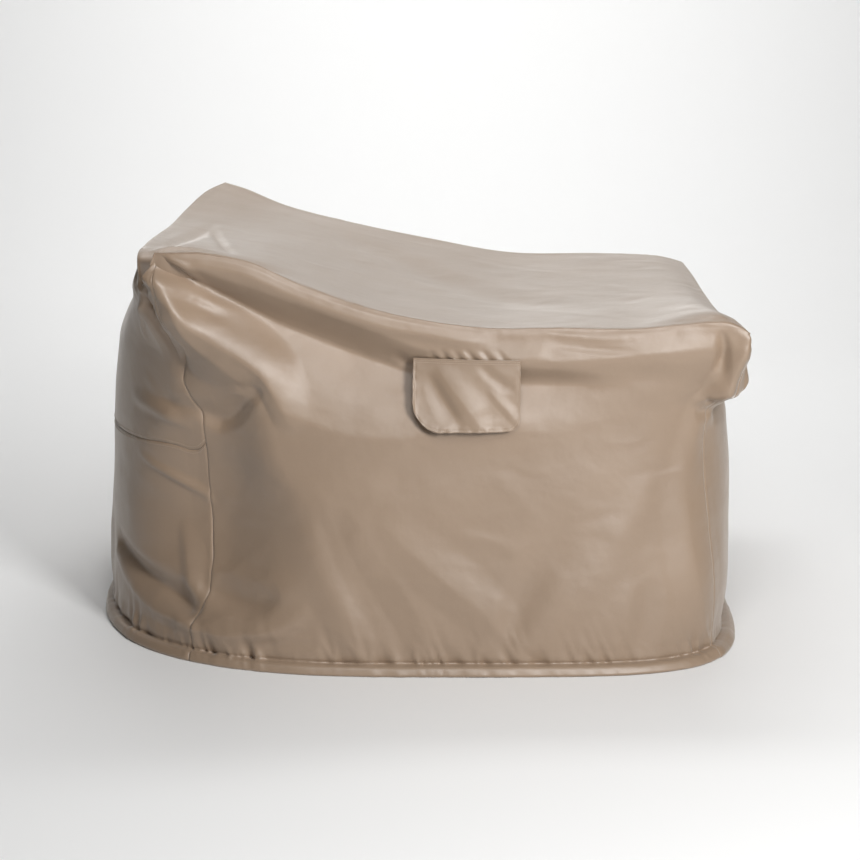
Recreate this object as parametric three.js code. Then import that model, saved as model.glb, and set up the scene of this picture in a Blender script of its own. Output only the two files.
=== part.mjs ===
// Fitted outdoor cover for a low armchair, hollow and open at the hem, as it hangs over the chair.
// Millimetres, +Z up. The chair's back is towards -X, its front towards +X, the side with the vent
// flap faces -Y. The tables measure heights from the floor that the hem meets.
import * as THREE from "three";

// Cloth and sewing
const CLOTH = 2;
const SEAM_GAP = 0.3;
const FLAP_CLOTH = 2.6;
// Least sine of half the angle that a seam's mitre is cut for, and of a rim against its sheet
const LEAST_MITRE = 0.5;
const LEAST_RIM_SHARE = 0.4;

// Height of the point under the top panel where the chair holds the cover: the part's origin
const HOLD_HEIGHT = 540.5;

// Grid of the sewn panels: cells along a side panel and along an end panel
const SIDE_CELLS = 36;
const END_CELLS = 22;
// Share of the height below the top seam of each row of the grid, from the seam to the hem
const ROWS = [
  0, 0.022, 0.05, 0.085, 0.12, 0.155, 0.19, 0.23, 0.27, 0.315, 0.365, 0.415, 0.47, 0.53, 0.59, 0.65,
  0.71, 0.77, 0.825, 0.875, 0.92, 0.955, 0.973, 0.988, 1,
];
// The back is cut in two at this row: a seam runs across it there
const BACK_SEAM_ROW = 12;
// Cells grow by this share from the tall back of the chair towards its front
const CELL_GROWTH = 0.36;
const BACK_CELL_GROWTH = 0.3;

// Top seam, corner to corner round the cover: x, y, height
const NEAR_EDGE = [
  [-400, -435, 655], [-366, -437, 655], [-331, -437, 655], [-255, -436, 640], [-179, -435, 605],
  [-57, -435, 564], [94, -435, 539], [216, -435, 538], [339, -435, 537], [400, -435, 543],
  [450, -436, 547], [478, -436, 545], [507, -438, 531],
];
const FRONT_EDGE = [
  [507, -438, 531], [492, -405, 543], [486, -340, 540], [487, -244, 530], [497, 0, 519],
  [507, 250, 515], [512, 435, 511],
];
const FAR_EDGE = [
  [512, 435, 511], [467, 436, 523], [350, 436, 529], [174, 436, 531], [18, 436, 558],
  [-147, 436, 592], [-263, 436, 623], [-340, 436, 655], [-379, 435, 667],
];
const BACK_EDGE = [
  [-379, 435, 667], [-405, 350, 660], [-425, 200, 645], [-430, 0, 640], [-431, -150, 645],
  [-432, -300, 648], [-432, -392, 640], [-423, -416, 601], [-400, -435, 655],
];

// Body below the top seam: share of the height, half sizes to the back, front and sides, and how
// square each corner is, in plan (2 is an ellipse)
const BODY = [
  { down: 0, back: 436, front: 497, side: 435, nearBack: 12, nearFront: 12, farFront: 12, farBack: 12 },
  { down: 0.1, back: 495, front: 497, side: 445, nearBack: 5, nearFront: 8, farFront: 7, farBack: 6 },
  { down: 0.25, back: 508, front: 506, side: 455, nearBack: 3.0, nearFront: 5, farFront: 4.5, farBack: 3.5 },
  { down: 0.4, back: 523, front: 514, side: 462, nearBack: 2.6, nearFront: 4.5, farFront: 4, farBack: 3.2 },
  { down: 0.6, back: 531, front: 519, side: 474, nearBack: 2.5, nearFront: 4.5, farFront: 4, farBack: 3 },
  { down: 0.8, back: 535, front: 516, side: 488, nearBack: 2.5, nearFront: 5, farFront: 4, farBack: 3 },
  { down: 0.93, back: 538, front: 512, side: 496, nearBack: 2.55, nearFront: 5, farFront: 4, farBack: 3 },
  { down: 0.965, back: 543, front: 518, side: 501, nearBack: 2.6, nearFront: 5, farFront: 4, farBack: 3 },
  { down: 1, back: 548, front: 530, side: 507, nearBack: 2.65, nearFront: 5, farFront: 4, farBack: 3 },
];
// The plan of the body takes over from the top seam's own outline down to this share of the height
const BLEND_DOWN = 0.27;
// Dips of the seam itself die out down to this share
const DIP_DOWN = 0.14;
// Length of seam over which its height is evened out for the rows below
const EVEN_STEPS = 12;

// The seam at the near back corner wanders: share of the height, millimetres round from its tip
const CORNER_SEAM = [
  { down: 0, round: 0 }, { down: 0.1, round: -4 }, { down: 0.16, round: 3 }, { down: 0.21, round: 7 },
  { down: 0.31, round: -12 }, { down: 0.355, round: 0 }, { down: 0.41, round: 17 },
  { down: 0.56, round: 21 }, { down: 0.775, round: 33 }, { down: 0.85, round: 27 },
  { down: 0.92, round: 14 }, { down: 1, round: 22 },
];
const CORNER_SEAM_REACH = 0.45;
const CORNER_SEAM_FADE = 1.5;

// Folds of the walls. high is the height of the crest, below zero for a trough; over and under are
// the widths above and below the line (right and left of it where it runs down); peak is where along
// the line it is highest; the shapes are 0 round, 1 straight, 2 hollow; each point of the line is
// the distance round the body from the middle of the vent side, and the height from the floor.
const WALL_FOLDS = [
  { high: -38, over: 66, under: 104, peak: 0.36, shapes: [0.1, 0.85],
    line: [[-366, 640], [-338, 611], [-218, 547], [-95, 505], [101, 453], [293, 451], [410, 430]] },
  { high: -11, over: 15, under: 14, peak: 0.35, shapes: [0.3, 0.6],
    line: [[-390, 606], [-350, 575], [-325, 555], [-225, 500]] },
  { high: 30, over: 54, under: 46, peak: 0.35, shapes: [0.3, 0.9],
    line: [[-400, 612], [-359, 550], [-308, 498], [-243, 451], [-174, 391]] },
  { high: -24, over: 40, under: 54, peak: 0.45, shapes: [0.7, 0.2],
    line: [[-217, 468], [-269, 422], [-340, 379], [-400, 384], [-456, 406]] },
  { high: -25, over: 20, under: 36, peak: 0.4, shapes: [0.6, 0.5],
    line: [[-405, 600], [-394, 570], [-384, 530], [-386, 440]] },
  { high: 7, over: 22, under: 16, peak: 0.5, shapes: [0.2, 0.2],
    line: [[-570, 400], [-480, 392], [-385, 362]] },
  { high: -20, over: 46, under: 24, peak: 0.5, shapes: [0.5, 0.6],
    line: [[-660, 150], [-560, 125], [-460, 108], [-330, 80]] },
  { high: 12, over: 16, under: 36, peak: 0.5, shapes: [0.4, 0.2],
    line: [[-640, 118], [-525, 100], [-450, 80], [-320, 42]] },
  { high: 11, over: 14, under: 22, peak: 0.5, shapes: [0.8, 0.4],
    line: [[-425, 210], [-400, 165], [-350, 88]] },
  { high: -11, over: 26, under: 18, peak: 0.55, shapes: [0.3, 0.6],
    line: [[-355, 196], [-285, 145], [-225, 98]] },
  { high: -24, over: 150, under: 170, peak: 0.5, shapes: [0, 0],
    line: [[-312, 382], [-334, 290], [-337, 200], [-330, 73]] },
  { high: 7, over: 44, under: 64, peak: 0.6, shapes: [0.2, 0.2],
    line: [[-158, 320], [-147, 211], [-116, 118], [-92, 20]] },
  { high: -12, over: 50, under: 56, peak: 0.55, shapes: [0.3, 0.3],
    line: [[-150, 310], [-90, 160], [10, 45], [60, 10]] },
  { high: 10, over: 50, under: 46, peak: 0.6, shapes: [0.2, 0.3],
    line: [[-100, 290], [10, 150], [105, 50], [130, 10]] },
  { high: 7, over: 32, under: 36, peak: 0.6, shapes: [0.1, 0.2],
    line: [[169, 512], [297, 504], [400, 503], [470, 506]] },
  { high: -11, over: 46, under: 90, peak: 0.5, shapes: [0.4, 0.1],
    line: [[-90, 285], [50, 350], [275, 390], [390, 400]] },
  { high: 11, over: 38, under: 24, peak: 0.6, shapes: [1, 1.6],
    line: [[424, 330], [427, 220], [440, 110], [484, 10]] },
  { high: 9, over: 40, under: 40, peak: 0.4, shapes: [0.2, 0.2],
    line: [[470, 440], [440, 320], [408, 180]] },
  { high: 36, over: 40, under: 48, peak: 0.5, shapes: [0.3, 0.3],
    line: [[487, 535], [495, 460], [486, 372]] },
  { high: 11, over: 18, under: 14, peak: 0.7, shapes: [0.5, 0.8],
    line: [[430, 410], [462, 434], [510, 462]] },
  { high: -14, over: 20, under: 30, peak: 0.6, shapes: [0.5, 0.3],
    line: [[436, 396], [480, 405], [580, 400]] },
  { high: 8, over: 50, under: 54, peak: 0.5, shapes: [0.2, 0.2],
    line: [[375, 320], [270, 165], [130, 10]] },
  { high: -8, over: 44, under: 36, peak: 0.55, shapes: [0.2, 0.2],
    line: [[250, 285], [155, 130], [115, 15]] },
  // Front end of the chair
  { high: -14, over: 40, under: 50, peak: 0.4, shapes: [0.3, 0.2],
    line: [[530, 500], [610, 440], [700, 365], [810, 290]] },
  { high: -12, over: 36, under: 46, peak: 0.4, shapes: [0.3, 0.2],
    line: [[1190, 490], [1110, 425], [1020, 372], [920, 345]] },
  { high: 8, over: 48, under: 44, peak: 0.4, shapes: [0.2, 0.3],
    line: [[705, 5], [690, 120], [720, 260]] },
  { high: -9, over: 50, under: 44, peak: 0.35, shapes: [0.2, 0.2],
    line: [[870, 5], [905, 130], [880, 260]] },
  { high: 7, over: 46, under: 52, peak: 0.4, shapes: [0.2, 0.2],
    line: [[1065, 5], [1035, 140], [1065, 270]] },
  // Far side
  { high: -13, over: 34, under: 44, peak: 0.45, shapes: [0.5, 0.2],
    line: [[1240, 500], [1340, 440], [1460, 425], [1620, 440]] },
  { high: -20, over: 48, under: 50, peak: 0.55, shapes: [0.5, 0.2],
    line: [[1650, 470], [1800, 520], [1960, 590], [2080, 630]] },
  { high: 9, over: 60, under: 54, peak: 0.4, shapes: [0.2, 0.2],
    line: [[1395, 5], [1430, 150], [1390, 290]] },
  { high: -10, over: 54, under: 60, peak: 0.4, shapes: [0.2, 0.2],
    line: [[1600, 5], [1570, 150], [1610, 330]] },
  { high: 9, over: 60, under: 50, peak: 0.35, shapes: [0.2, 0.3],
    line: [[1800, 5], [1840, 140], [1800, 260]] },
  { high: -9, over: 46, under: 50, peak: 0.4, shapes: [0.2, 0.2],
    line: [[1980, 5], [1950, 180], [1990, 340]] },
  // Chair's back
  { high: -14, over: 44, under: 52, peak: 0.4, shapes: [0.4, 0.2],
    line: [[2140, 600], [2230, 490], [2340, 405]] },
  { high: -9, over: 40, under: 50, peak: 0.45, shapes: [0.2, 0.2],
    line: [[2700, 590], [2640, 450], [2660, 310]] },
  { high: 8, over: 50, under: 56, peak: 0.4, shapes: [0.2, 0.2],
    line: [[2490, 5], [2520, 140], [2480, 300]] },
  { high: -9, over: 46, under: 50, peak: 0.4, shapes: [0.2, 0.2],
    line: [[2310, 5], [2290, 170], [2330, 330]] },
  { high: 7, over: 44, under: 50, peak: 0.35, shapes: [0.2, 0.2],
    line: [[2690, 5], [2710, 120], [2680, 230]] },
];
// Folds leave the top seam flat down to this share of the height
const FOLD_START = 0.065;

// Folds of the top panel, in plan x and y
const TOP_FOLDS = [
  { high: -7, over: 22, under: 22, peak: 0.5, shapes: [0.9, 0.9],
    line: [[-402, -330], [-385, -200], [-369, 27], [-364, 117]] },
  { high: -4, over: 12, under: 14, peak: 0.5, shapes: [0.8, 0.5],
    line: [[-361, 67], [-341, -74], [-284, -352]] },
  { high: -8, over: 90, under: 110, peak: 0.5, shapes: [0, 0],
    line: [[-150, 330], [60, 40], [300, -260]] },
];
// Depth of the hang of the top between its seams
const TOP_SAG = 12;
// Reach along the top of the outlines of its back and front seams, as a share of its length
const BACK_REACH = 0.26;
const FRONT_REACH = 0.2;
// Folds of the top die out this close to its seams
const TOP_FOLD_EDGE = 18;

// Rolled hem: height of its middle, how far it stands out, and the stitched groove above it
const HEM = { middle: 9, spread: 7, stands: 3.4, groove: 21, grooveSpread: 4, grooveDepth: 1.4 };

// Vent flap on the near side: its corners, the radii of its lower corners, how far it hangs off the
// panel, how far each lower corner lifts, and how fast that lift dies out across and upwards
const FLAP = {
  left: -8, right: 156, top: 491, bottom: 382, leftRadius: 44, rightRadius: 21, seat: 0.7,
  hang: 2.2, hangShare: 0.25, leftLift: 24, rightLift: 5, across: 1.4, upward: 1.6, columns: 14, rows: 10,
};

// Steps and least sizes of the reckoning
const SIDES = 4;
const EDGE_STEPS = 128;
const ROUND_STEPS = 2880;
const MID_DOWN = 0.6;
const FOLD_STEP = 10;
const SIDE_SOFTNESS = 2.5;
const END_WIDTH = 0.45;
const NUDGE_U = 0.004;
const NUDGE_DOWN = 0.004;
const EDGE_ON = 1e-6;
const TURN = 2 * Math.PI;

const clamp = (x, low, high) => Math.min(high, Math.max(low, x));

function smoothStep(from, to, x) {
  const share = clamp((x - from) / (to - from), 0, 1);
  return share * share * (3 - 2 * share);
}

// A smooth curve through a table that never overshoots its rows.
function steadyCurve(xs, ys) {
  const slopes = xs.slice(1).map((x, i) => (ys[i + 1] - ys[i]) / (x - xs[i]));
  const tangents = ys.map((_, i) => {
    if (i === 0) return slopes[0];
    if (i === ys.length - 1) return slopes[i - 1];
    const product = slopes[i - 1] * slopes[i];
    return product <= 0 ? 0 : (2 * product) / (slopes[i - 1] + slopes[i]);
  });
  return (x) => {
    let i = 1;
    while (i < xs.length - 1 && xs[i] < x) i += 1;
    const width = xs[i] - xs[i - 1];
    const u = clamp((x - xs[i - 1]) / width, 0, 1);
    const v = 1 - u;
    return (
      ys[i - 1] * (1 + 2 * u) * v * v + width * tangents[i - 1] * u * v * v +
      ys[i] * u * u * (3 - 2 * u) + width * tangents[i] * u * u * (u - 1)
    );
  };
}

const downs = BODY.map((row) => row.down);
const bodyCurves = Object.fromEntries(
  Object.keys(BODY[0]).slice(1).map((key) => [key, steadyCurve(downs, BODY.map((row) => row[key]))]),
);

// Plan point of the body at an angle seen from its middle, at a share of the height.
function planPoint(angle, down) {
  const c = Math.cos(angle);
  const s = Math.sin(angle);
  const length = c < 0 ? bodyCurves.back(down) : bodyCurves.front(down);
  const width = bodyCurves.side(down);
  const corner = (s < 0 ? "near" : "far") + (c < 0 ? "Back" : "Front");
  const square = bodyCurves[corner](down);
  const radius = (Math.abs(c / length) ** square + Math.abs(s / width) ** square) ** (-1 / square);
  return [radius * c, radius * s];
}

// Top seam as one closed line of points with their angles and evened heights
function topSeam() {
  const points = [];
  for (const rows of [NEAR_EDGE, FRONT_EDGE, FAR_EDGE, BACK_EDGE]) {
    const corners = rows.map((row) => new THREE.Vector3(...row));
    const curve = new THREE.CatmullRomCurve3(corners, false, "centripetal");
    points.push(...curve.getSpacedPoints(EDGE_STEPS).slice(0, -1));
  }
  const count = points.length;
  const evened = points.map((_, i) => {
    let sum = 0;
    let weight = 0;
    for (let k = -EVEN_STEPS; k <= EVEN_STEPS; k += 1) {
      const w = 1 + Math.cos((Math.PI * k) / EVEN_STEPS);
      sum += w * points[(i + k + count) % count].z;
      weight += w;
    }
    return sum / weight;
  });
  const angles = [];
  points.forEach((p) => {
    let angle = Math.atan2(p.y, p.x);
    while (angles.length && angle < angles[angles.length - 1]) angle += TURN;
    angles.push(angle);
  });
  points.push(points[0].clone());
  evened.push(evened[0]);
  angles.push(angles[0] + TURN);
  return { points, evened, angles };
}

const seam = topSeam();

// Value of a list along the top seam at u, which runs from 0 to 4 round the four sides.
function alongSeam(list, u) {
  const at = clamp(u * EDGE_STEPS, 0, list.length - 1);
  const i = Math.min(Math.floor(at), list.length - 2);
  const share = at - i;
  return list[i] + (list[i + 1] - list[i]) * share;
}

const seamX = seam.points.map((p) => p.x);
const seamY = seam.points.map((p) => p.y);
const seamZ = seam.points.map((p) => p.z);
const seamPoint = (u) => [alongSeam(seamX, u), alongSeam(seamY, u), alongSeam(seamZ, u)];

// Distance round the body at mid height for each angle, zero at the middle of the near side
const roundAngles = [];
const roundLengths = [];
for (let i = 0; i <= ROUND_STEPS; i += 1) {
  const angle = -Math.PI / 2 + (TURN * i) / ROUND_STEPS;
  const [x, y] = planPoint(angle, MID_DOWN);
  const [px, py] = planPoint(angle - TURN / ROUND_STEPS, MID_DOWN);
  roundAngles.push(angle);
  roundLengths.push(i === 0 ? 0 : roundLengths[i - 1] + Math.hypot(x - px, y - py));
}
const ROUND = roundLengths[ROUND_STEPS];

function roundOf(angle) {
  const turns = Math.floor((angle + Math.PI / 2) / TURN);
  const at = ((angle + Math.PI / 2) / TURN - turns) * ROUND_STEPS;
  const i = Math.min(Math.floor(at), ROUND_STEPS - 1);
  return turns * ROUND + roundLengths[i] + (roundLengths[i + 1] - roundLengths[i]) * (at - i);
}

function angleOf(round) {
  const turns = Math.floor(round / ROUND);
  const rest = round - turns * ROUND;
  let low = 0;
  let high = ROUND_STEPS;
  while (high - low > 1) {
    const middle = (low + high) >> 1;
    if (roundLengths[middle] <= rest) low = middle;
    else high = middle;
  }
  const share = (rest - roundLengths[low]) / (roundLengths[high] - roundLengths[low]);
  return roundAngles[low] + (share * TURN) / ROUND_STEPS + turns * TURN;
}

const cornerSeam = steadyCurve(CORNER_SEAM.map((r) => r.down), CORNER_SEAM.map((r) => r.round));

// Distance round the body of the column u at a share of the height.
function roundAt(u, down) {
  const side = Math.min(Math.floor(u), SIDES - 1);
  const share = u - side;
  let pull = 0;
  if (side === 0) pull = clamp(1 - share / CORNER_SEAM_REACH, 0, 1) ** CORNER_SEAM_FADE;
  if (side === SIDES - 1) pull = clamp(1 - (1 - share) / CORNER_SEAM_REACH, 0, 1) ** CORNER_SEAM_FADE;
  return roundOf(alongSeam(seam.angles, u)) + pull * cornerSeam(down);
}

// Smooth body of the walls, before folds.
function bodyPoint(u, down) {
  const [x, y] = planPoint(angleOf(roundAt(u, down)), down);
  const own = smoothStep(0, BLEND_DOWN, down);
  const [seamAtX, seamAtY, seamAtZ] = seamPoint(u);
  const even = alongSeam(seam.evened, u);
  const dip = (seamAtZ - even) * (1 - smoothStep(0, DIP_DOWN, down));
  return new THREE.Vector3(
    seamAtX + (x - seamAtX) * own,
    seamAtY + (y - seamAtY) * own,
    even * (1 - down) + dip,
  );
}

// Profile of one side of a fold at a share x of its width.
function foldSide(x, shape) {
  const round = 0.5 * (1 + Math.cos(Math.PI * x));
  const straight = 1 - x;
  if (shape <= 1) return round + (straight - round) * shape;
  return straight + (straight * straight - straight) * (shape - 1);
}

// A fold's line as short straight steps, with the height and width share at each of them.
function foldLine(fold) {
  const corners = fold.line.map(([x, y]) => new THREE.Vector3(x, y, 0));
  const curve = new THREE.CatmullRomCurve3(corners, false, "centripetal");
  const steps = Math.ceil(curve.getLength() / FOLD_STEP);
  return curve.getSpacedPoints(steps).map((p, i) => {
    const share = i / steps;
    const rise = share < fold.peak
      ? smoothStep(0, fold.peak, share)
      : 1 - smoothStep(fold.peak, 1, share);
    return { x: p.x, y: p.y, rise };
  });
}

const withLines = (folds) => folds.map((fold) => ({ ...fold, steps: foldLine(fold) }));
const wallFolds = withLines(WALL_FOLDS);
const topFolds = withLines(TOP_FOLDS);

// Height that one fold adds at a point of its sheet.
function foldHeight(fold, x, y) {
  let best = Infinity;
  let side = 0;
  let rise = 0;
  for (let i = 1; i < fold.steps.length; i += 1) {
    const a = fold.steps[i - 1];
    const b = fold.steps[i];
    const dx = b.x - a.x;
    const dy = b.y - a.y;
    const share = clamp(((x - a.x) * dx + (y - a.y) * dy) / (dx * dx + dy * dy), 0, 1);
    const away = Math.hypot(x - a.x - dx * share, y - a.y - dy * share);
    if (away < best) {
      best = away;
      side = (dx * (y - a.y) - dy * (x - a.x)) / Math.hypot(dx, dy);
      rise = a.rise + (b.rise - a.rise) * share;
    }
  }
  const width = END_WIDTH + (1 - END_WIDTH) * rise;
  const above = foldSide(Math.min(1, best / (fold.over * width)), fold.shapes[0]);
  const below = foldSide(Math.min(1, best / (fold.under * width)), fold.shapes[1]);
  const mix = 0.5 + 0.5 * Math.tanh(side / SIDE_SOFTNESS);
  return fold.high * rise * (above * mix + below * (1 - mix));
}

function wallFoldHeight(u, down, height) {
  const round = roundAt(u, down);
  let sum = 0;
  for (const shift of [-ROUND, 0, ROUND]) {
    for (const fold of wallFolds) sum += foldHeight(fold, round + shift, height);
  }
  return sum * smoothStep(0, FOLD_START, down);
}

function hemHeight(height) {
  const roll = Math.exp(-(((height - HEM.middle) / HEM.spread) ** 2));
  const groove = Math.exp(-(((height - HEM.groove) / HEM.grooveSpread) ** 2));
  return HEM.stands * roll - HEM.grooveDepth * groove;
}

// Outward normal of the smooth body.
function bodyNormal(u, down) {
  const before = (u - NUDGE_U + SIDES) % SIDES;
  const after = (u + NUDGE_U) % SIDES;
  const along = bodyPoint(after, down).sub(bodyPoint(before, down));
  const fall = bodyPoint(u, Math.min(1, down + NUDGE_DOWN))
    .sub(bodyPoint(u, Math.max(0, down - NUDGE_DOWN)));
  return fall.cross(along).normalize();
}

// Top panel between the four seams: u from the chair's back to its front, v from near to far.
function topPoint(u, v) {
  const vector = (at) => new THREE.Vector3(...seamPoint(at));
  const near = vector(u);
  const far = vector(2 + (1 - u));
  const point = near.clone().lerp(far, v);
  const backLine = vector(0).lerp(vector(3), v);
  const frontLine = vector(1).lerp(vector(2), v);
  const back = vector(3 + (1 - v)).sub(backLine);
  const front = vector(1 + v).sub(frontLine);
  point.addScaledVector(back, 1 - smoothStep(0, BACK_REACH, u));
  point.addScaledVector(front, 1 - smoothStep(0, FRONT_REACH, 1 - u));
  point.z -= TOP_SAG * Math.sin(Math.PI * u) * Math.sin(Math.PI * v);
  return point;
}

function topNormal(u, v) {
  const alongU = topPoint(Math.min(1, u + NUDGE_U), v).sub(topPoint(Math.max(0, u - NUDGE_U), v));
  const alongV = topPoint(u, Math.min(1, v + NUDGE_U)).sub(topPoint(u, Math.max(0, v - NUDGE_U)));
  return alongU.cross(alongV).normalize();
}

// Outer face of the walls.
function wallPoint(u, down) {
  const point = bodyPoint(u, down);
  if (down === 0) return point;
  const normal = bodyNormal(u, down);
  const height = point.z;
  point.addScaledVector(normal, wallFoldHeight(u, down, height) + hemHeight(height));
  if (down === 1) point.z = 0;
  return point;
}

// Outer face of the top panel.
function topSheetPoint(u, v) {
  const point = topPoint(u, v);
  const length = NEAR_EDGE[NEAR_EDGE.length - 1][0] - NEAR_EDGE[0][0];
  const width = FAR_EDGE[0][1] - NEAR_EDGE[0][1];
  const edge = Math.min(Math.min(u, 1 - u) * length, Math.min(v, 1 - v) * width);
  if (edge === 0) return point;
  let fold = 0;
  for (const row of topFolds) fold += foldHeight(row, point.x, point.y);
  return point.addScaledVector(topNormal(u, v), fold * smoothStep(0, TOP_FOLD_EDGE, edge));
}

// Shares along a side of the cover, with cells that grow from the tall back
const sideShares = Array.from({ length: SIDE_CELLS + 1 }, (_, i) => {
  const share = i / SIDE_CELLS;
  return share * (1 - CELL_GROWTH * (1 - share));
});
// Shares from the near to the far side of an end
const endShares = Array.from({ length: END_CELLS + 1 }, (_, i) => {
  const share = i / END_CELLS;
  return share * (1 - BACK_CELL_GROWTH * (1 - share));
});
const turned = (shares) => shares.map((share) => 1 - share).reverse();

// Outer face of all walls as one closed band of columns, and the first column of each side
const bandStarts = [];
const band = [];
[sideShares, endShares, turned(sideShares), turned(endShares)].forEach((shares, side) => {
  bandStarts.push(band.length);
  for (const share of shares.slice(0, -1)) {
    band.push(ROWS.map((down) => wallPoint(side + share, down)));
  }
});
bandStarts.push(band.length);

// Outer face of the top: columns from the back to the front, rows from the far to the near side
const farToNear = [...endShares].reverse();
const topFace = sideShares.map((u) => farToNear.map((v) => topSheetPoint(u, v)));

const wrap = (i) => (i + band.length) % band.length;

// Way to the inner face at a point whose neighbours along and down the sheet are given.
function inward(before, after, above, below) {
  const along = after.clone().sub(before);
  const fall = below.clone().sub(above);
  return fall.cross(along).normalize().multiplyScalar(-CLOTH);
}

// Way to the inner face along the top seam: wall and top meet in a mitre between their own ways.
function mitre(seamAt, wallNext, topNext) {
  const wallWay = wallNext.clone().sub(seamAt).normalize();
  const topWay = topNext.clone().sub(seamAt).normalize();
  const middle = wallWay.clone().add(topWay).normalize();
  const halfSine = Math.sin(wallWay.angleTo(topWay) / 2);
  return middle.multiplyScalar(CLOTH / Math.max(LEAST_MITRE, halfSine));
}

// Top face's neighbour across the seam at a column of the band.
function topBeside(i) {
  const side = bandStarts.findIndex((start, k) => i >= start && i < bandStarts[k + 1]);
  const k = i - bandStarts[side];
  const lastColumn = topFace.length - 1;
  const lastRow = farToNear.length - 1;
  const places = [
    [Math.max(1, k), lastRow - 1], [lastColumn - 1, lastRow - Math.max(1, k)],
    [lastColumn - Math.max(1, k), 1], [1, Math.max(1, k)],
  ];
  const [column, row] = places[side];
  return topFace[column][row];
}

const seamWays = band.map((column, i) => mitre(column[0], column[1], topBeside(i)));

const innerBand = band.map((column, i) => column.map((point, j) => {
  if (j === 0) return point.clone().add(seamWays[i]);
  const below = column[Math.min(j + 1, column.length - 1)];
  const way = inward(band[wrap(i - 1)][j], band[wrap(i + 1)][j], column[j - 1], below);
  const inner = point.clone().add(way);
  inner.addScaledVector(way.clone().normalize(), Math.max(0, hemHeight(point.z)));
  if (j === column.length - 1) inner.z = 0;
  return inner;
}));

// Column of the band at each border point of the top face, or -1 inside it
function seamColumn(i, j) {
  const lastColumn = topFace.length - 1;
  const lastRow = farToNear.length - 1;
  if (j === lastRow && i < lastColumn) return bandStarts[0] + i;
  if (i === lastColumn && j > 0) return bandStarts[1] + lastRow - j;
  if (j === 0 && i > 0) return bandStarts[2] + lastColumn - i;
  if (i === 0) return bandStarts[3] + j;
  return -1;
}

const topInner = topFace.map((column, i) => column.map((point, j) => {
  const at = seamColumn(i, j);
  if (at >= 0) return point.clone().add(seamWays[at]);
  const way = inward(topFace[i - 1][j], topFace[i + 1][j], column[j - 1], column[j + 1]);
  return point.clone().add(way);
}));

// Moves the border of a grid inwards, so that sewn neighbours stand the seam gap apart.
function insetBorder(grid, edges) {
  const last = grid.length - 1;
  const lastRow = grid[0].length - 1;
  const moves = [];
  const pull = (i, j, stepI, stepJ) => {
    const cell = grid[i][j];
    const next = grid[i + stepI][j + stepJ];
    const before = stepI ? grid[i][Math.max(0, j - 1)] : grid[Math.max(0, i - 1)][j];
    const after = stepI ? grid[i][Math.min(lastRow, j + 1)] : grid[Math.min(last, i + 1)][j];
    const through = cell.inner.clone().sub(cell.outer);
    const rim = after.outer.clone().sub(before.outer).cross(through).normalize();
    for (const face of ["outer", "inner"]) {
      const way = next[face].clone().sub(cell[face]).normalize();
      const share = Math.max(LEAST_RIM_SHARE, Math.abs(way.dot(rim)));
      moves.push([cell[face], way.multiplyScalar(SEAM_GAP / 2 / share)]);
    }
  };
  for (let j = 0; j <= lastRow; j += 1) {
    if (edges.left) pull(0, j, 1, 0);
    if (edges.right) pull(last, j, -1, 0);
  }
  for (let i = 0; i <= last; i += 1) {
    if (edges.top) pull(i, 0, 0, 1);
    if (edges.bottom) pull(i, lastRow, 0, -1);
  }
  for (const [point, move] of moves) point.add(move);
}

// One closed sheet from a grid of outer and inner points: columns to the right, rows downwards,
// seen from outside. The rims of two neighbours are cut along the same diagonals; turnedRims does
// that for the upper and right rims of the top panel, whose neighbours run the other way.
function closedSheet(grid, turnedRims = false) {
  const columns = grid.length;
  const rows = grid[0].length;
  const positions = [];
  const index = [];
  for (const face of ["outer", "inner"]) {
    for (const column of grid) column.forEach((cell) => positions.push(...cell[face].toArray()));
  }
  const outer = (i, j) => i * rows + j;
  const inner = (i, j) => columns * rows + i * rows + j;
  const quad = (a, b, c, d) => index.push(a, b, c, a, c, d);
  const rim = (a, b, c, d) => (turnedRims ? quad(b, c, d, a) : quad(a, b, c, d));
  for (let i = 0; i < columns - 1; i += 1) {
    for (let j = 0; j < rows - 1; j += 1) {
      quad(outer(i, j), outer(i, j + 1), outer(i + 1, j + 1), outer(i + 1, j));
      quad(inner(i, j), inner(i + 1, j), inner(i + 1, j + 1), inner(i, j + 1));
    }
    rim(outer(i, 0), outer(i + 1, 0), inner(i + 1, 0), inner(i, 0));
    quad(outer(i, rows - 1), inner(i, rows - 1), inner(i + 1, rows - 1), outer(i + 1, rows - 1));
  }
  for (let j = 0; j < rows - 1; j += 1) {
    quad(outer(0, j), inner(0, j), inner(0, j + 1), outer(0, j + 1));
    const last = columns - 1;
    rim(outer(last, j), outer(last, j + 1), inner(last, j + 1), inner(last, j));
  }
  const geometry = new THREE.BufferGeometry();
  geometry.setAttribute("position", new THREE.Float32BufferAttribute(positions, 3));
  geometry.setIndex(index);
  geometry.computeVertexNormals();
  return geometry;
}

const gridOf = (outer, inner) => outer.map((column, i) => (
  column.map((point, j) => ({ outer: point.clone(), inner: inner[i][j].clone() }))
));

function wallPanel(side, firstRow = 0, lastRow = ROWS.length - 1) {
  const columns = [];
  for (let i = bandStarts[side]; i <= bandStarts[side + 1]; i += 1) columns.push(wrap(i));
  const cut = (face) => columns.map((i) => face[i].slice(firstRow, lastRow + 1));
  const grid = gridOf(cut(band), cut(innerBand));
  insetBorder(grid, { left: true, right: true, top: true, bottom: lastRow < ROWS.length - 1 });
  return closedSheet(grid);
}

function topPanel() {
  const grid = gridOf(topFace, topInner);
  insetBorder(grid, { left: true, right: true, top: true, bottom: true });
  return closedSheet(grid, true);
}

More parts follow.
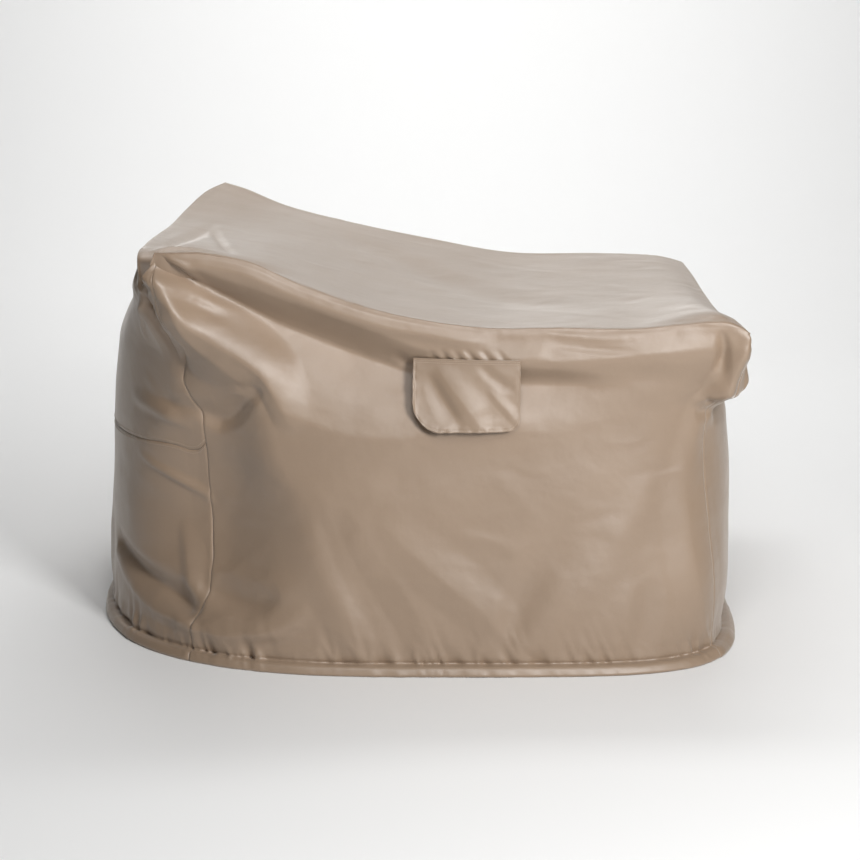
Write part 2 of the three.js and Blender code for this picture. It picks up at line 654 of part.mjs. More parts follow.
// Depth (y) of the near panel's outer face behind a point of the flap.
function panelDepth(panel, x, z) {
  const position = panel.getAttribute("position");
  const index = panel.getIndex();
  const corner = (k) => new THREE.Vector3().fromBufferAttribute(position, index.getX(k));
  let depth = Infinity;
  for (let k = 0; k < index.count; k += 3) {
    const [a, b, c] = [corner(k), corner(k + 1), corner(k + 2)];
    const area = (b.x - a.x) * (c.z - a.z) - (c.x - a.x) * (b.z - a.z);
    if (Math.abs(area) < EDGE_ON) continue;
    const wb = ((x - a.x) * (c.z - a.z) - (c.x - a.x) * (z - a.z)) / area;
    const wc = ((b.x - a.x) * (z - a.z) - (x - a.x) * (b.z - a.z)) / area;
    if (wb < 0 || wc < 0 || wb + wc > 1) continue;
    depth = Math.min(depth, a.y + wb * (b.y - a.y) + wc * (c.y - a.y));
  }
  return depth;
}

// The flap is a double layer sewn down along its upper edge, with its lower near corner lifted.
function ventFlap(panel) {
  const { left, right, top, bottom, leftRadius, rightRadius, columns, rows } = FLAP;
  const grid = [];
  for (let i = 0; i <= columns; i += 1) {
    const x = left + ((right - left) * i) / columns;
    let low = bottom;
    if (x - left < leftRadius) {
      low += leftRadius - Math.sqrt(leftRadius ** 2 - (leftRadius - (x - left)) ** 2);
    }
    if (right - x < rightRadius) {
      low += rightRadius - Math.sqrt(rightRadius ** 2 - (rightRadius - (right - x)) ** 2);
    }
    const column = [];
    for (let j = 0; j <= rows; j += 1) {
      const z = top + ((low - top) * j) / rows;
      const hang = (top - z) / (top - bottom);
      const across = (x - left) / (right - left);
      const corner = FLAP.leftLift * (1 - across) ** FLAP.across + FLAP.rightLift * across ** FLAP.across;
      const free = FLAP.hang * smoothStep(0, FLAP.hangShare, hang);
      const lift = FLAP.seat + free + corner * hang ** FLAP.upward;
      const under = panelDepth(panel, x, z) - lift;
      column.push({
        outer: new THREE.Vector3(x, under - FLAP_CLOTH, z),
        inner: new THREE.Vector3(x, under, z),
      });
    }
    grid.push(column);
  }
  return closedSheet(grid);
}

const clothMaterial = new THREE.MeshStandardMaterial({ color: 0xb9a893, roughness: 0.62, metalness: 0 });

function clothMesh(name, geometry) {
  const mesh = new THREE.Mesh(geometry, clothMaterial);
  mesh.name = name;
  return mesh;
}

const nearPanel = wallPanel(0);
const cover = new THREE.Group();
cover.add(
  clothMesh("top_panel", topPanel()),
  clothMesh("near_side_panel", nearPanel),
  clothMesh("front_panel", wallPanel(1)),
  clothMesh("far_side_panel", wallPanel(2)),
  clothMesh("back_upper_panel", wallPanel(3, 0, BACK_SEAM_ROW)),
  clothMesh("back_lower_panel", wallPanel(3, BACK_SEAM_ROW)),
  clothMesh("vent_flap", ventFlap(nearPanel)),
);
cover.position.z = -HOLD_HEIGHT;

export default cover;
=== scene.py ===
"""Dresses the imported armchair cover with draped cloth, seams, a rolled hem, a vent flap and stitches."""
import math
from collections import namedtuple

import bpy
import numpy as np
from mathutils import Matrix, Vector


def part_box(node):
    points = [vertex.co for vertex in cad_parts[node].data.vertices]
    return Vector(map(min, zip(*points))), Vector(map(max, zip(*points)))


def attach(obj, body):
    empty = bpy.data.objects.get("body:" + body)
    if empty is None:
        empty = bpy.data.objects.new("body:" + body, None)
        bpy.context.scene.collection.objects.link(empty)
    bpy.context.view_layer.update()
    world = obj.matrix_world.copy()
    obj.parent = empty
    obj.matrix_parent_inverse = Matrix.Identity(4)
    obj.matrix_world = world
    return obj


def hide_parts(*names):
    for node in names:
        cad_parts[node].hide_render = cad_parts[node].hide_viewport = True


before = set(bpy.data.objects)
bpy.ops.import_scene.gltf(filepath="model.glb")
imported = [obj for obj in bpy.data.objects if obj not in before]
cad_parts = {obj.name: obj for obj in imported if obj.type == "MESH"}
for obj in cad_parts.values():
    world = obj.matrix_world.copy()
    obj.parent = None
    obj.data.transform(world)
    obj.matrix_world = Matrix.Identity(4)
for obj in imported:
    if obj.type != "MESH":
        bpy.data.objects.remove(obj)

bl_info = {
    "name": "Armchair Cover",
    "version": (1, 0, 0),
    "blender": (4, 5, 0),
    "location": "3D View > Sidebar > Cover",
    "description": "Builds a fitted outdoor armchair cover panel by panel",
    "category": "Add Mesh",
}

MM = 0.001
BODY_NAME = "root"
# Height of the floor in the part's frame, in millimetres, and its place in metres: the hem stands on it
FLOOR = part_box("near_side_panel")[0][2] / MM
GROUND = Vector((0, 0, FLOOR * MM))

# Top seam, corner to corner round the cover: x, y, height above the floor
NEAR_EDGE = (
    (-400, -435, 655), (-366, -437, 655), (-331, -437, 655), (-255, -436, 640), (-179, -435, 605),
    (-57, -435, 564), (94, -435, 539), (216, -435, 538), (339, -435, 537), (400, -435, 543),
    (450, -436, 547), (478, -436, 545), (507, -438, 531),
)
FRONT_EDGE = (
    (507, -438, 531), (492, -405, 543), (486, -340, 540), (487, -244, 530), (497, 0, 519),
    (507, 250, 515), (512, 435, 511),
)
FAR_EDGE = (
    (512, 435, 511), (467, 436, 523), (350, 436, 529), (174, 436, 531), (18, 436, 558),
    (-147, 436, 592), (-263, 436, 623), (-340, 436, 655), (-379, 435, 667),
)
BACK_EDGE = (
    (-379, 435, 667), (-405, 350, 660), (-425, 200, 645), (-430, 0, 640), (-431, -150, 645),
    (-432, -300, 648), (-432, -392, 640), (-423, -416, 601), (-400, -435, 655),
)

# Body below the top seam: share of the height, half sizes, and how square each corner is in plan
BodyRow = namedtuple("BodyRow", "down back front side near_back near_front far_front far_back")
BODY = (
    BodyRow(0, 436, 497, 435, 12, 12, 12, 12),
    BodyRow(0.1, 495, 497, 445, 5, 8, 7, 6),
    BodyRow(0.25, 508, 506, 455, 2.9, 5, 4.5, 3.5),
    BodyRow(0.4, 523, 514, 462, 2.45, 4.5, 4, 3.2),
    BodyRow(0.6, 531, 519, 474, 2.35, 4.5, 4, 3),
    BodyRow(0.8, 535, 516, 488, 2.35, 5, 4, 3),
    BodyRow(0.93, 538, 512, 496, 2.5, 5, 4, 3),
    BodyRow(0.965, 543, 518, 501, 2.6, 5, 4, 3),
    BodyRow(1, 548, 530, 507, 2.65, 5, 4, 3),
)
# Share of the height over which the plan turns from the top seam's into the body's own
BLEND_DOWN = 0.27
# Share of the height in which the short dips of the top seam run out
DIP_DOWN = 0.14
# Share of the height at which distances round the body are measured
MID_DOWN = 0.6

# Wander of the corner seam by the raised corner: share of the height, millimetres round. The cloth
# follows it over a share of each side, and ever less by this power.
CORNER_SEAM = (
    (0, 0), (0.1, -4), (0.16, 3), (0.21, 5), (0.31, -19), (0.355, -9), (0.41, 2), (0.45, 0), (0.56, -5),
    (0.69, 4), (0.775, 14), (0.85, 20), (0.92, 14), (1, 22),
)
CORNER_SEAM_REACH = 0.45
CORNER_SEAM_FADE = 1.5

# A fold's shapes above and below its line are 0 round, 1 straight, 2 hollow. Each row of its line:
# distance round the body from the middle of the vent side, height, height of the crest (below zero
# in a trough), and the widths above and below the line (right and left of one that runs down).
Fold = namedtuple("Fold", "name shapes rows")
WALL_FOLDS = (
    Fold("main valley", (0.6, 0.85), (
        (-370, 644, -5, 11, 14), (-356, 631, -14, 15, 22), (-340, 616, -22, 18, 32),
        (-322, 600, -29, 24, 50), (-298, 583, -36, 30, 76), (-270, 567, -40, 35, 92),
        (-218, 542, -42, 39, 112), (-159, 520, -42, 41, 124), (-95, 497, -40, 41, 124),
        (-30, 476, -35, 40, 110), (30, 461, -27, 36, 84), (72, 455, -10, 32, 56), (106, 452, 0, 28, 40),
    )),
    Fold("valley right of the flap", (0.6, 0.6), (
        (20, 455, 0, 26, 60), (90, 454, -12, 26, 66), (150, 453, -18, 25, 74), (205, 452, -17, 24, 74),
        (255, 451, -12, 22, 66), (298, 449, -5, 19, 54), (345, 447, 0, 16, 40),
    )),
    Fold("rolled rim", (1.0, 0.2), (
        (-376, 640, 0, 10, 10), (-345, 636, 4, 16, 14), (-317, 634, 6, 18, 18), (-288, 628, 6.5, 20, 20),
        (-258, 618, 6.5, 20, 20), (-196, 587, 6.5, 20, 20), (-125, 561, 6.5, 20, 20), (-49, 540, 6.5, 20, 20),
        (31, 527, 6, 19, 19), (80, 520, 5, 18, 18), (130, 517, 0, 18, 18),
    )),
    Fold("first ridge", (0.2, 0.2), (
        (-372, 613, 1, 14, 12), (-352, 597, 3, 14, 13), (-325, 576, 3, 16, 15), (-278, 549, 0, 20, 18),
    )),
    Fold("second valley", (0.4, 0.8), (
        (-376, 612, -3, 9, 10), (-364, 600, -10, 11, 12), (-344, 582, -15, 14, 14),
        (-319, 561, -11, 16, 16), (-290, 541, -6, 20, 18), (-260, 522, -2, 22, 20),
        (-228, 504, 0, 24, 22),
    )),
    Fold("overhanging ridge", (0.35, 1.0), (
        (-392, 624, 8, 18, 8), (-383, 616, 17, 22, 13), (-372, 607, 24, 26, 20),
        (-355, 583, 30, 36, 40), (-340, 553, 34, 46, 72), (-309, 522, 34, 56, 88),
        (-273, 493, 31, 60, 68), (-246, 468, 25, 60, 34), (-231, 444, 17, 56, 24),
        (-214, 412, 8, 50, 26), (-194, 376, 0, 44, 26),
    )),
    Fold("valley below the facet", (1.3, 0.6), (
        (-247, 444, 0, 8, 8), (-262, 430, -6, 14, 18), (-283, 411, -10, 18, 30),
        (-312, 390, -12, 20, 40), (-340, 380, -12, 20, 44), (-359, 387, -9, 18, 36),
        (-385, 396, -6, 14, 26), (-421, 400, -6, 12, 20), (-456, 406, 0, 10, 14),
    )),
    Fold("back hollow", (0.6, 0.5), (
        (-400, 591, -3, 8, 10), (-396, 573, -14, 14, 20), (-389, 544, -22, 20, 30),
        (-386, 514, -20, 24, 34), (-388, 479, -8, 24, 34), (-388, 447, 0, 20, 26),
    )),
    Fold("back narrow ridge", (1, 0.7), (
        (-404, 600, 4, 7, 8), (-403, 574, 7, 8, 10), (-456, 526, 4, 9, 12), (-463, 497, 0, 10, 12),
    )),
    Fold("back bright", (0.2, 0.2), (
        (-548, 394, 0, 20, 14), (-479, 390, 6, 22, 16), (-436, 380, 7, 22, 14), (-405, 370, 3, 16, 10),
        (-387, 363, 0, 12, 8),
    )),
    Fold("back streak", (0.4, 0.4), (
        (-522, 308, 0, 8, 8), (-476, 291, 5, 10, 9), (-416, 268, 7, 12, 10), (-382, 255, 3, 10, 10),
        (-367, 245, 0, 8, 8),
    )),
    Fold("shoulder of the back", (0.1, 0.1), (
        (-432, 600, 0, 20, 40), (-455, 590, 9, 34, 60), (-600, 585, 8, 40, 70), (-900, 585, 6, 40, 70),
        (-1150, 585, 0, 30, 60),
    )),
    Fold("low left valley", (0.3, 0.5), (
        (-609, 124, -10, 36, 20), (-532, 105, -18, 40, 26), (-475, 90, -22, 44, 28),
        (-424, 82, -22, 44, 28), (-386, 77, -16, 34, 24), (-359, 77, -5, 20, 16),
    )),
    Fold("low left ridge", (0.4, 0.2), (
        (-612, 116, 6, 12, 30), (-527, 99, 10, 14, 36), (-451, 81, 12, 16, 36), (-399, 67, 11, 14, 30),
        (-363, 54, 5, 12, 24), (-336, 45, 0, 10, 20),
    )),
    Fold("wedge ridge", (0.5, 0.4), (
        (-426, 210, 0, 18, 14), (-415, 180, 3, 30, 20), (-402, 147, 5.5, 34, 22),
        (-388, 112, 5, 28, 22), (-372, 80, 2, 18, 16), (-362, 58, 0, 12, 12),
    )),
    Fold("right of seam valley", (0.2, 0.4), (
        (-362, 111, -3, 24, 12), (-327, 101, -10, 40, 20), (-281, 96, -13, 44, 24),
        (-244, 101, -10, 40, 22), (-212, 119, 0, 30, 18),
    )),
    Fold("hollow of the corner", (0, 0), (
        (-285, 430, 0, 60, 60), (-305, 392, -14, 90, 90), (-323, 346, -27, 120, 130),
        (-334, 290, -40, 160, 190), (-337, 226, -44, 185, 230), (-336, 168, -38, 180, 220),
        (-334, 116, -21, 150, 170), (-329, 73, 0, 100, 110),
    )),
    Fold("ridge beside the hollow", (0.2, 0.2), (
        (-158, 320, 0, 40, 60), (-152, 265, 2, 46, 70), (-147, 211, 3, 44, 70), (-135, 161, 4, 42, 60),
        (-116, 118, 4, 38, 52), (-100, 78, 4, 34, 46), (-93, 37, 2, 30, 40),
    )),
    Fold("roll above the hem at the corner", (0.2, 0.3), (
        (-383, 44, 4, 24, 20), (-335, 45, 9, 30, 22), (-281, 48, 11, 34, 22), (-231, 59, 9, 34, 22),
        (-191, 77, 5, 30, 20), (-161, 100, 0, 24, 20),
    )),
    Fold("lower dark valley", (0.8, 0.4), (
        (-138, 262, 0, 24, 40), (-123, 223, -3, 32, 50), (-103, 182, -5, 38, 58),
        (-72, 131, -7, 42, 60), (-41, 82, -7, 42, 54), (-23, 47, -5, 38, 44), (-9, 20, -2, 30, 30),
    )),
    Fold("lower bright ridge", (0.7, 0.9), (
        (-59, 240, 0, 34, 30), (-25, 204, 3, 46, 36), (18, 166, 5, 52, 40), (63, 128, 6, 52, 40),
        (107, 88, 5, 46, 36), (127, 46, 2, 36, 30),
    )),
    Fold("shoulder under the seam", (0.8, 0.3), (
        (10, 508, 0, 26, 20), (80, 497, 7, 40, 24), (160, 489, 11, 46, 27), (234, 488, 12, 48, 30),
        (297, 492, 12, 46, 36), (368, 500, 12, 40, 44), (430, 506, 9, 34, 60), (458, 508, 4, 30, 40),
    )),
    Fold("valley below the flap", (0.4, 0.2), (
        (-76, 287, 0, 30, 40), (-29, 315, -4, 36, 60), (50, 348, -4, 44, 80), (162, 370, -4, 46, 90),
        (273, 388, -3, 44, 80), (369, 398, 0, 40, 60),
    )),
    Fold("right end crease", (0.7, 0.4), (
        (430, 350, 0, 50, 44), (427, 295, 3, 58, 46), (429, 225, 9, 68, 48), (432, 154, 10, 70, 48),
        (444, 86, 9, 62, 42), (466, 23, 4, 40, 24),
    )),
    Fold("right end soft edge", (0.2, 0.2), (
        (470, 470, 0, 20, 20), (462, 430, 3, 26, 26), (453, 375, 7, 36, 36), (440, 315, 4, 40, 40),
        (432, 260, 0, 40, 36),
    )),
    Fold("bright fold by the tip", (0.5, 0.8), (
        (438, 414, 0, 10, 10), (455, 427, 7, 14, 12), (472, 444, 9, 18, 14), (492, 458, 5, 16, 14),
        (512, 468, 0, 12, 10),
    )),
    Fold("hollow by the tip", (0.5, 0.3), (
        (448, 399, 0, 12, 16), (477, 403, -10, 18, 26), (520, 399, -12, 22, 32), (565, 396, -8, 26, 34),
        (620, 394, 0, 24, 30),
    )),
    Fold("tip fold", (0.7, 0.5), (
        (450, 535, 0, 5, 7), (455, 513, -8, 7, 11), (459, 488, -9, 8, 14), (465, 466, -3, 8, 12),
    )),
    Fold("corner tip crease", (0.8, 0.8), (
        (-370, 617, 0, 5, 6), (-356, 607, -4, 7, 9), (-342, 594, -4, 9, 10), (-318, 577, 0, 10, 12),
    )),
    Fold("top tip bump", (0.6, 0.4), (
        (-355, 641, 4, 7, 6), (-340, 630, 9, 9, 8), (-326, 609, 5, 10, 9), (-317, 596, 0, 9, 9),
    )),
    Fold("dark end of the valley by the flap", (0.5, 0.5), (
        (-43, 502, 0, 10, 10), (-23, 488, -5, 12, 10), (-5, 479, -5, 12, 10), (19, 476, 0, 10, 10),
    )),
    Fold("small hollow by the tip", (0.9, 0.4), (
        (452, 433, 0, 6, 8), (469, 423, -6, 8, 14), (500, 424, -8, 12, 22), (540, 427, -4, 14, 24),
        (580, 430, 0, 14, 20),
    )),
    Fold("soft line under the rim", (0.6, 0.4), (
        (215, 513, 0, 8, 8), (266, 508, -2, 9, 9), (315, 504, -2, 9, 9), (355, 504, 0, 8, 8),
    )),
    Fold("band under the seam", (0.4, 0.4), (
        (210, 530, 0, 8, 8), (254, 526, 2, 9, 9), (303, 522, 2, 10, 9), (355, 523, 0, 8, 8),
    )),
    Fold("lower left light", (0.2, 0.2), (
        (-106, 270, 0, 30, 34), (-102, 219, 1.5, 38, 42), (-89, 173, 2.5, 44, 48), (-70, 121, 2.5, 44, 48),
        (-48, 70, 1.5, 36, 40), (-36, 30, 0, 28, 32),
    )),
    Fold("low middle crease", (0.6, 0.4), (
        (-157, 276, 0, 12, 12), (-150, 238, -1, 16, 16), (-133, 192, -1.5, 20, 24),
        (-110, 142, -1.5, 22, 26), (-85, 93, -1, 18, 22), (-69, 56, 0, 14, 14),
    )),
    Fold("hanging front corner", (0.3, 0.3), (
        (487, 531, 0, 20, 24), (490, 505, 14, 28, 34), (494, 478, 30, 36, 44), (496, 450, 38, 40, 50),
        (494, 424, 30, 38, 46), (490, 400, 16, 32, 40), (486, 372, 0, 26, 30),
    )),
    Fold("diagonal light", (0.2, 0.2), (
        (369, 316, 0, 30, 40), (331, 240, 4, 44, 50), (270, 165, 5, 50, 54), (205, 96, 5, 46, 46),
        (158, 38, 2, 36, 36), (137, 14, 0, 30, 26),
    )),
    Fold("diagonal dark", (0.2, 0.2), (
        (245, 274, 0, 34, 34), (200, 197, -3, 44, 40), (157, 132, -5, 44, 36), (134, 73, -4, 34, 30),
        (120, 26, 0, 26, 24),
    )),
    Fold("right lower soft", (0.2, 0.2), (
        (342, 177, 0, 30, 30), (348, 114, -5, 36, 34), (332, 52, -5, 34, 30), (311, 17, 0, 30, 26),
    )),
)
# Plain folds of the ends and sides that the photo hardly shows: side, height of the crest, widths
# above and below, share of the line at which it is highest, shapes, points of the line
PLAIN_FOLDS = (
    ("front", -14, 40, 50, 0.4, (0.3, 0.2), ((530, 500), (610, 440), (700, 365), (810, 290))),
    ("front", -12, 36, 46, 0.4, (0.3, 0.2), ((1190, 490), (1110, 425), (1020, 372), (920, 345))),
    ("front", 8, 48, 44, 0.4, (0.2, 0.3), ((705, 5), (690, 120), (720, 260))),
    ("front", -9, 50, 44, 0.35, (0.2, 0.2), ((870, 5), (905, 130), (880, 260))),
    ("front", 7, 46, 52, 0.4, (0.2, 0.2), ((1065, 5), (1035, 140), (1065, 270))),
    ("far side", -13, 34, 44, 0.45, (0.5, 0.2), ((1240, 500), (1340, 440), (1460, 425), (1620, 440))),
    ("far side", -20, 48, 50, 0.55, (0.5, 0.2), ((1650, 470), (1800, 520), (1960, 590), (2080, 630))),
    ("far side", 9, 60, 54, 0.4, (0.2, 0.2), ((1395, 5), (1430, 150), (1390, 290))),
    ("far side", -10, 54, 60, 0.4, (0.2, 0.2), ((1600, 5), (1570, 150), (1610, 330))),
    ("far side", 9, 60, 50, 0.35, (0.2, 0.3), ((1800, 5), (1840, 140), (1800, 260))),
    ("far side", -9, 46, 50, 0.4, (0.2, 0.2), ((1980, 5), (1950, 180), (1990, 340))),
    ("back", -14, 44, 52, 0.4, (0.4, 0.2), ((2140, 600), (2230, 490), (2340, 405))),
    ("back", -9, 40, 50, 0.45, (0.2, 0.2), ((2700, 590), (2640, 450), (2660, 310))),
    ("back", 8, 50, 56, 0.4, (0.2, 0.2), ((2490, 5), (2520, 140), (2480, 300))),
    ("back", -9, 46, 50, 0.4, (0.2, 0.2), ((2310, 5), (2290, 170), (2330, 330))),
    ("back", 7, 44, 50, 0.35, (0.2, 0.2), ((2690, 5), (2710, 120), (2680, 230))),
)
PLAIN_FOLD_ROWS = 4
# Width of a plain fold at the ends of its line, as a share of its full width
END_WIDTH = 0.45
# Short puckers where the flap's upper edge is sewn on: distance round, depth
FLAP_PUCKERS = ((16, 3), (35, 4.5), (56, 3.5), (78, 4.5), (104, 3), (128, 2))
# Folds leave the top seam over this share of the height, run in steps of this length, and turn
# from one side of the line to the other this softly
FOLD_START = 0.013
FOLD_STEP = 9
SIDE_SOFTNESS = 2.2

# Folds of the top panel, in plan: x, y, height of the crest, widths to the left and the right
TOP_FOLDS = (
    Fold("crease beside the raised corner", (0.9, 0.9), (
        (-402, -316, 0, 12, 14), (-390, -264, -5, 18, 20), (-379, -153, -7, 22, 22), (-369, 27, -3, 18, 16),
        (-364, 117, 0, 12, 12),
    )),
    Fold("small crease", (0.8, 0.5), (
        (-361, 67, 0, 8, 10), (-341, -74, -4, 10, 14), (-309, -255, -4, 12, 14), (-284, -352, 0, 10, 10),
    )),
    Fold("ridge to the raised corner", (0.6, 0.6), (
        (-406, -369, 3, 14, 10), (-387, -350, 6, 22, 12), (-357, -340, 5, 26, 12), (-323, -334, 2, 24, 12),
        (-277, -436, 0, 20, 10),
    )),
    Fold("slack across the top", (0, 0), (
        (-150, 330, 0, 90, 110), (60, 40, -8, 90, 110), (300, -260, 0, 90, 110),
    )),
)
# Depth of the hang of the top, reach along it of its back and front seams' outlines as shares of
# its length, and how close to its seams its folds die out
TOP_SAG = 12
BACK_REACH = 0.26
FRONT_REACH = 0.2
TOP_FOLD_EDGE = 18

# Folds of the vent flap: x, height, height of the crest, widths above and below
FLAP_FOLDS = (
    Fold("ridge across the flap", (0.3, 0.3), (
        (28, 482, 0, 16, 12), (44, 458, 3.2, 30, 18), (66, 430, 4.5, 36, 22), (86, 404, 3.5, 30, 20),
        (98, 386, 2, 20, 16),
    )),
    Fold("hollow left of the ridge", (0.2, 0.2), (
        (10, 472, 0, 10, 12), (26, 446, -2.5, 14, 20), (46, 414, -3.5, 16, 24), (62, 392, -2, 14, 20),
    )),
    Fold("small ridge at the lower right", (0.3, 0.3), (
        (106, 450, 0, 10, 8), (124, 428, 2, 16, 11), (142, 408, 2.3, 14, 11), (154, 392, 1, 8, 8),
    )),
    Fold("hollow at the upper right", (0.3, 0.3), (
        (90, 486, 0, 10, 10), (108, 470, -2.2, 14, 14), (130, 454, -2.2, 14, 14), (150, 444, 0, 10, 10),
    )),
)

# Unevenness of the cloth, each with the size of its bumps and its seed
NOISES = {
    "wall": (95, 1), "fine wall": (37, 2), "gathers": (13, 3), "wide gathers": (23, 4),
    "seam puckers": (9, 7), "top seam puckers": (10, 8), "top": (110, 11), "fine top": (40, 12),
    "top puckers": (10, 13), "flap edge": (7, 21),
}
# Height of the fine waves beside the broad ones
FINE_SHARE = 0.3
# Bumps each way after which an unevenness repeats
NOISE_CELLS = 64

# Where the hem's cord draws the cloth in: distance round, reach each way, strength
GATHERS = (
    (-330, 60, 0.6), (-250, 45, 1.0), (-150, 30, 0.5), (-95, 45, 1.0), (-20, 60, 0.9), (70, 55, 1.0),
    (150, 40, 0.6), (235, 30, 0.8), (300, 26, 0.7), (455, 40, 0.9), (-520, 60, 0.7), (-640, 60, 0.6),
    (700, 90, 0.7), (980, 120, 0.7), (1330, 110, 0.8), (1600, 120, 0.7), (1880, 90, 0.8),
    (2250, 120, 0.7), (2500, 90, 0.8),
)
GATHER_LEAST, GATHER_MOST = 0.3, 1.2
# How far gathers lean to the side over their height, and their share on the hem itself
GATHER_LEAN = 0.35
GATHER_ON_HEM = 0.1
# How many times longer than wide they are
GATHER_LONG, WIDE_GATHER_LONG = 6, 8
# How far the hem's face leans back from its foot to its stitches
HEM_LEAN = 0.35
# The stitched groove: height over the hem, reach, and how far below it the cloth is drawn in
GROOVE_OVER = 2.5
GROOVE_REACH = 2.4
TUCK_UNDER = 3

# The stiff rim beside the top seam and the dips of the seams: distance from the seam, reach
RIM_AT, RIM_REACH = 9, 6.5
TOP_RIM_AT, TOP_RIM_REACH = 8, 6
SEAM_REACH, TOP_SEAM_REACH = 1.9, 1.8
# Puckers start this far from the top seam
PUCKER_START = 3

# The flap: how its lifted corners bend, its uneven edge, the dip of its stitches, least room under it
FLAP_BEND = 1.4
FLAP_WAVE, FLAP_WAVE_REACH = 1.1, 6
FLAP_DIP, FLAP_DIP_REACH = 0.35, 1.3
FLAP_ROOM = 0.4
# Shares of the flap's height under its sewn edge over which its hang, folds and uneven edge begin
FLAP_HANG_FROM, FLAP_FOLDS_FROM, FLAP_WAVE_FROM = 0.25, 0.12, 0.1
# Share of its rectangle that the flap's rounded corners leave
FLAP_AREA_SHARE = 0.95
# Rows of stitches: points along them, room beside the back's corners as a share of a side, distance
# from the seam across the back, and room at the ends of the flap's upper rows
HEM_LINE_POINTS, BACK_LINE_POINTS = 1400, 400
FLAP_LINE_POINTS, CORNER_POINTS, TOP_LINE_POINTS = 30, 24, 60
BACK_LINE_END, BACK_LINE_ASIDE, TOP_LINE_END = 0.004, 5.5, 2
# Floor and backdrop, in metres: front, back and sides of the floor, radius of the bend, top
FLOOR_FRONT, FLOOR_BACK, FLOOR_SIDE = -6, 2.2, 7
BACKDROP_BEND, BACKDROP_TOP = 1.6, 6
# Search for a point of the near wall: rounds, heights it starts with and steps by, and the room it
# keeps from the wall's borders at its start and later, as shares
SEARCH_ROUNDS = 8
SEARCH_FROM, SEARCH_STEP = 550, 560
START_ROOM, SEARCH_ROOM = 0.01, 0.005

# Cells of each sewn panel along its seam, and its rows of cells: from, to as shares, how many
NEAR_CELLS = 236
FRONT_CELLS = 150
FAR_CELLS = 190
BACK_CELLS = 170
ROW_RUNS = ((0, 0.02, 7), (0.02, 0.3, 44), (0.3, 0.88, 64), (0.88, 1, 32))
# Height of the seam across the back as a share. It hangs lower in its middle, by this share of the
# height, with the cloth between two more shares.
BACK_SEAM_DOWN = 0.47
BACK_SAG = 0.03
BACK_SAG_FROM, BACK_SAG_TO = 0.2, 0.8
TOP_CELLS = (200, 180)
# Close rows and columns of cells beside a seam, as shares, and the least share between two rows
CLOSE_ROWS = np.array([0.002, 0.005])
CLOSE_COLUMNS = np.array([0.0012, 0.0026])
LEAST_ROW = 0.001
# Just short of the corner where the walls close, and a distance that no seam reaches
LAST_CORNER = 3.9999999
FAR_AWAY = 1e6
NEAR_LENGTH = NEAR_EDGE[-1][0] - NEAR_EDGE[0][0]
TOP_WIDTH = FAR_EDGE[0][1] - NEAR_EDGE[0][1]

SIDES = 4
# Steps of the top seam along each side, those each way over which its short dips are evened out,
# those between two of its rows, and those of the ring on which distances round are measured
EDGE_STEPS = 256
EVEN_REACH = 24
CURVE_STEPS = 24
RING_STEPS = 2880
TURN = 2 * math.pi
# Shares of a side and of the height between which the slope of a surface is taken
NUDGE = 0.002
STITCH_NUDGE = 0.0008


def smooth_step(low, high, x):
    """A soft rise from 0 at the low end to 1 at the high end."""
    share = np.clip((x - low) / (high - low), 0, 1)
    return share * share * (3 - 2 * share)


def steady_curve(xs, ys):
    """A smooth curve through a table that never overshoots its rows."""
    xs, ys = np.array(xs, float), np.array(ys, float)
    width = np.diff(xs)
    slope = np.diff(ys) / width
    tangent = np.concatenate([slope[:1], np.zeros(len(ys) - 2), slope[-1:]])
    for i in range(1, len(ys) - 1):
        product = slope[i - 1] * slope[i]
        tangent[i] = 0 if product <= 0 else 2 * product / (slope[i - 1] + slope[i])

    def at(x):
        i = np.clip(np.searchsorted(xs, x, side="right") - 1, 0, len(width) - 1)
        u = np.clip((x - xs[i]) / width[i], 0, 1)
        v = 1 - u
        return (ys[i] * (1 + 2 * u) * v * v + width[i] * tangent[i] * u * v * v
                + ys[i + 1] * u * u * (3 - 2 * u) + width[i] * tangent[i + 1] * u * u * (u - 1))

    return at


def distances(line):
    """Distance along a line of points from its start to each of them."""
    return np.concatenate([[0], np.cumsum(np.linalg.norm(np.diff(line, axis=0), axis=1))])


def even_points(line, steps):
    """Points at even distances along a line of points."""
    way = distances(line)
    even = np.linspace(0, way[-1], steps + 1)
    return np.stack([np.interp(even, way, column) for column in line.T], 1)


def with_ends(points):
    """A line of points with one more before and after it, so that a curve goes through them all."""
    return np.vstack([2 * points[0] - points[1], points, 2 * points[-1] - points[-2]])


def seam_curve(rows, steps):
    """Evenly spaced points on a centripetal Catmull-Rom curve through a seam's rows."""
    p = with_ends(np.array(rows, float))
    runs = []
    for a, b, c, d in zip(p[:-3], p[1:-2], p[2:-1], p[3:]):
        t1 = np.linalg.norm(b - a) ** 0.5
        t2 = t1 + np.linalg.norm(c - b) ** 0.5
        t3 = t2 + np.linalg.norm(d - c) ** 0.5
        t = np.linspace(t1, t2, CURVE_STEPS, endpoint=False)[:, None]
        a1 = (t1 - t) / t1 * a + t / t1 * b
        a2 = (t2 - t) / (t2 - t1) * b + (t - t1) / (t2 - t1) * c
        a3 = (t3 - t) / (t3 - t2) * c + (t - t2) / (t3 - t2) * d
        b1 = (t2 - t) / t2 * a1 + t / t2 * a2
        b2 = (t3 - t) / (t3 - t1) * a2 + (t - t1) / (t3 - t1) * a3
        runs.append((t2 - t) / (t2 - t1) * b1 + (t - t1) / (t2 - t1) * b2)
    return even_points(np.vstack(runs + [p[-2:-1]]), steps)


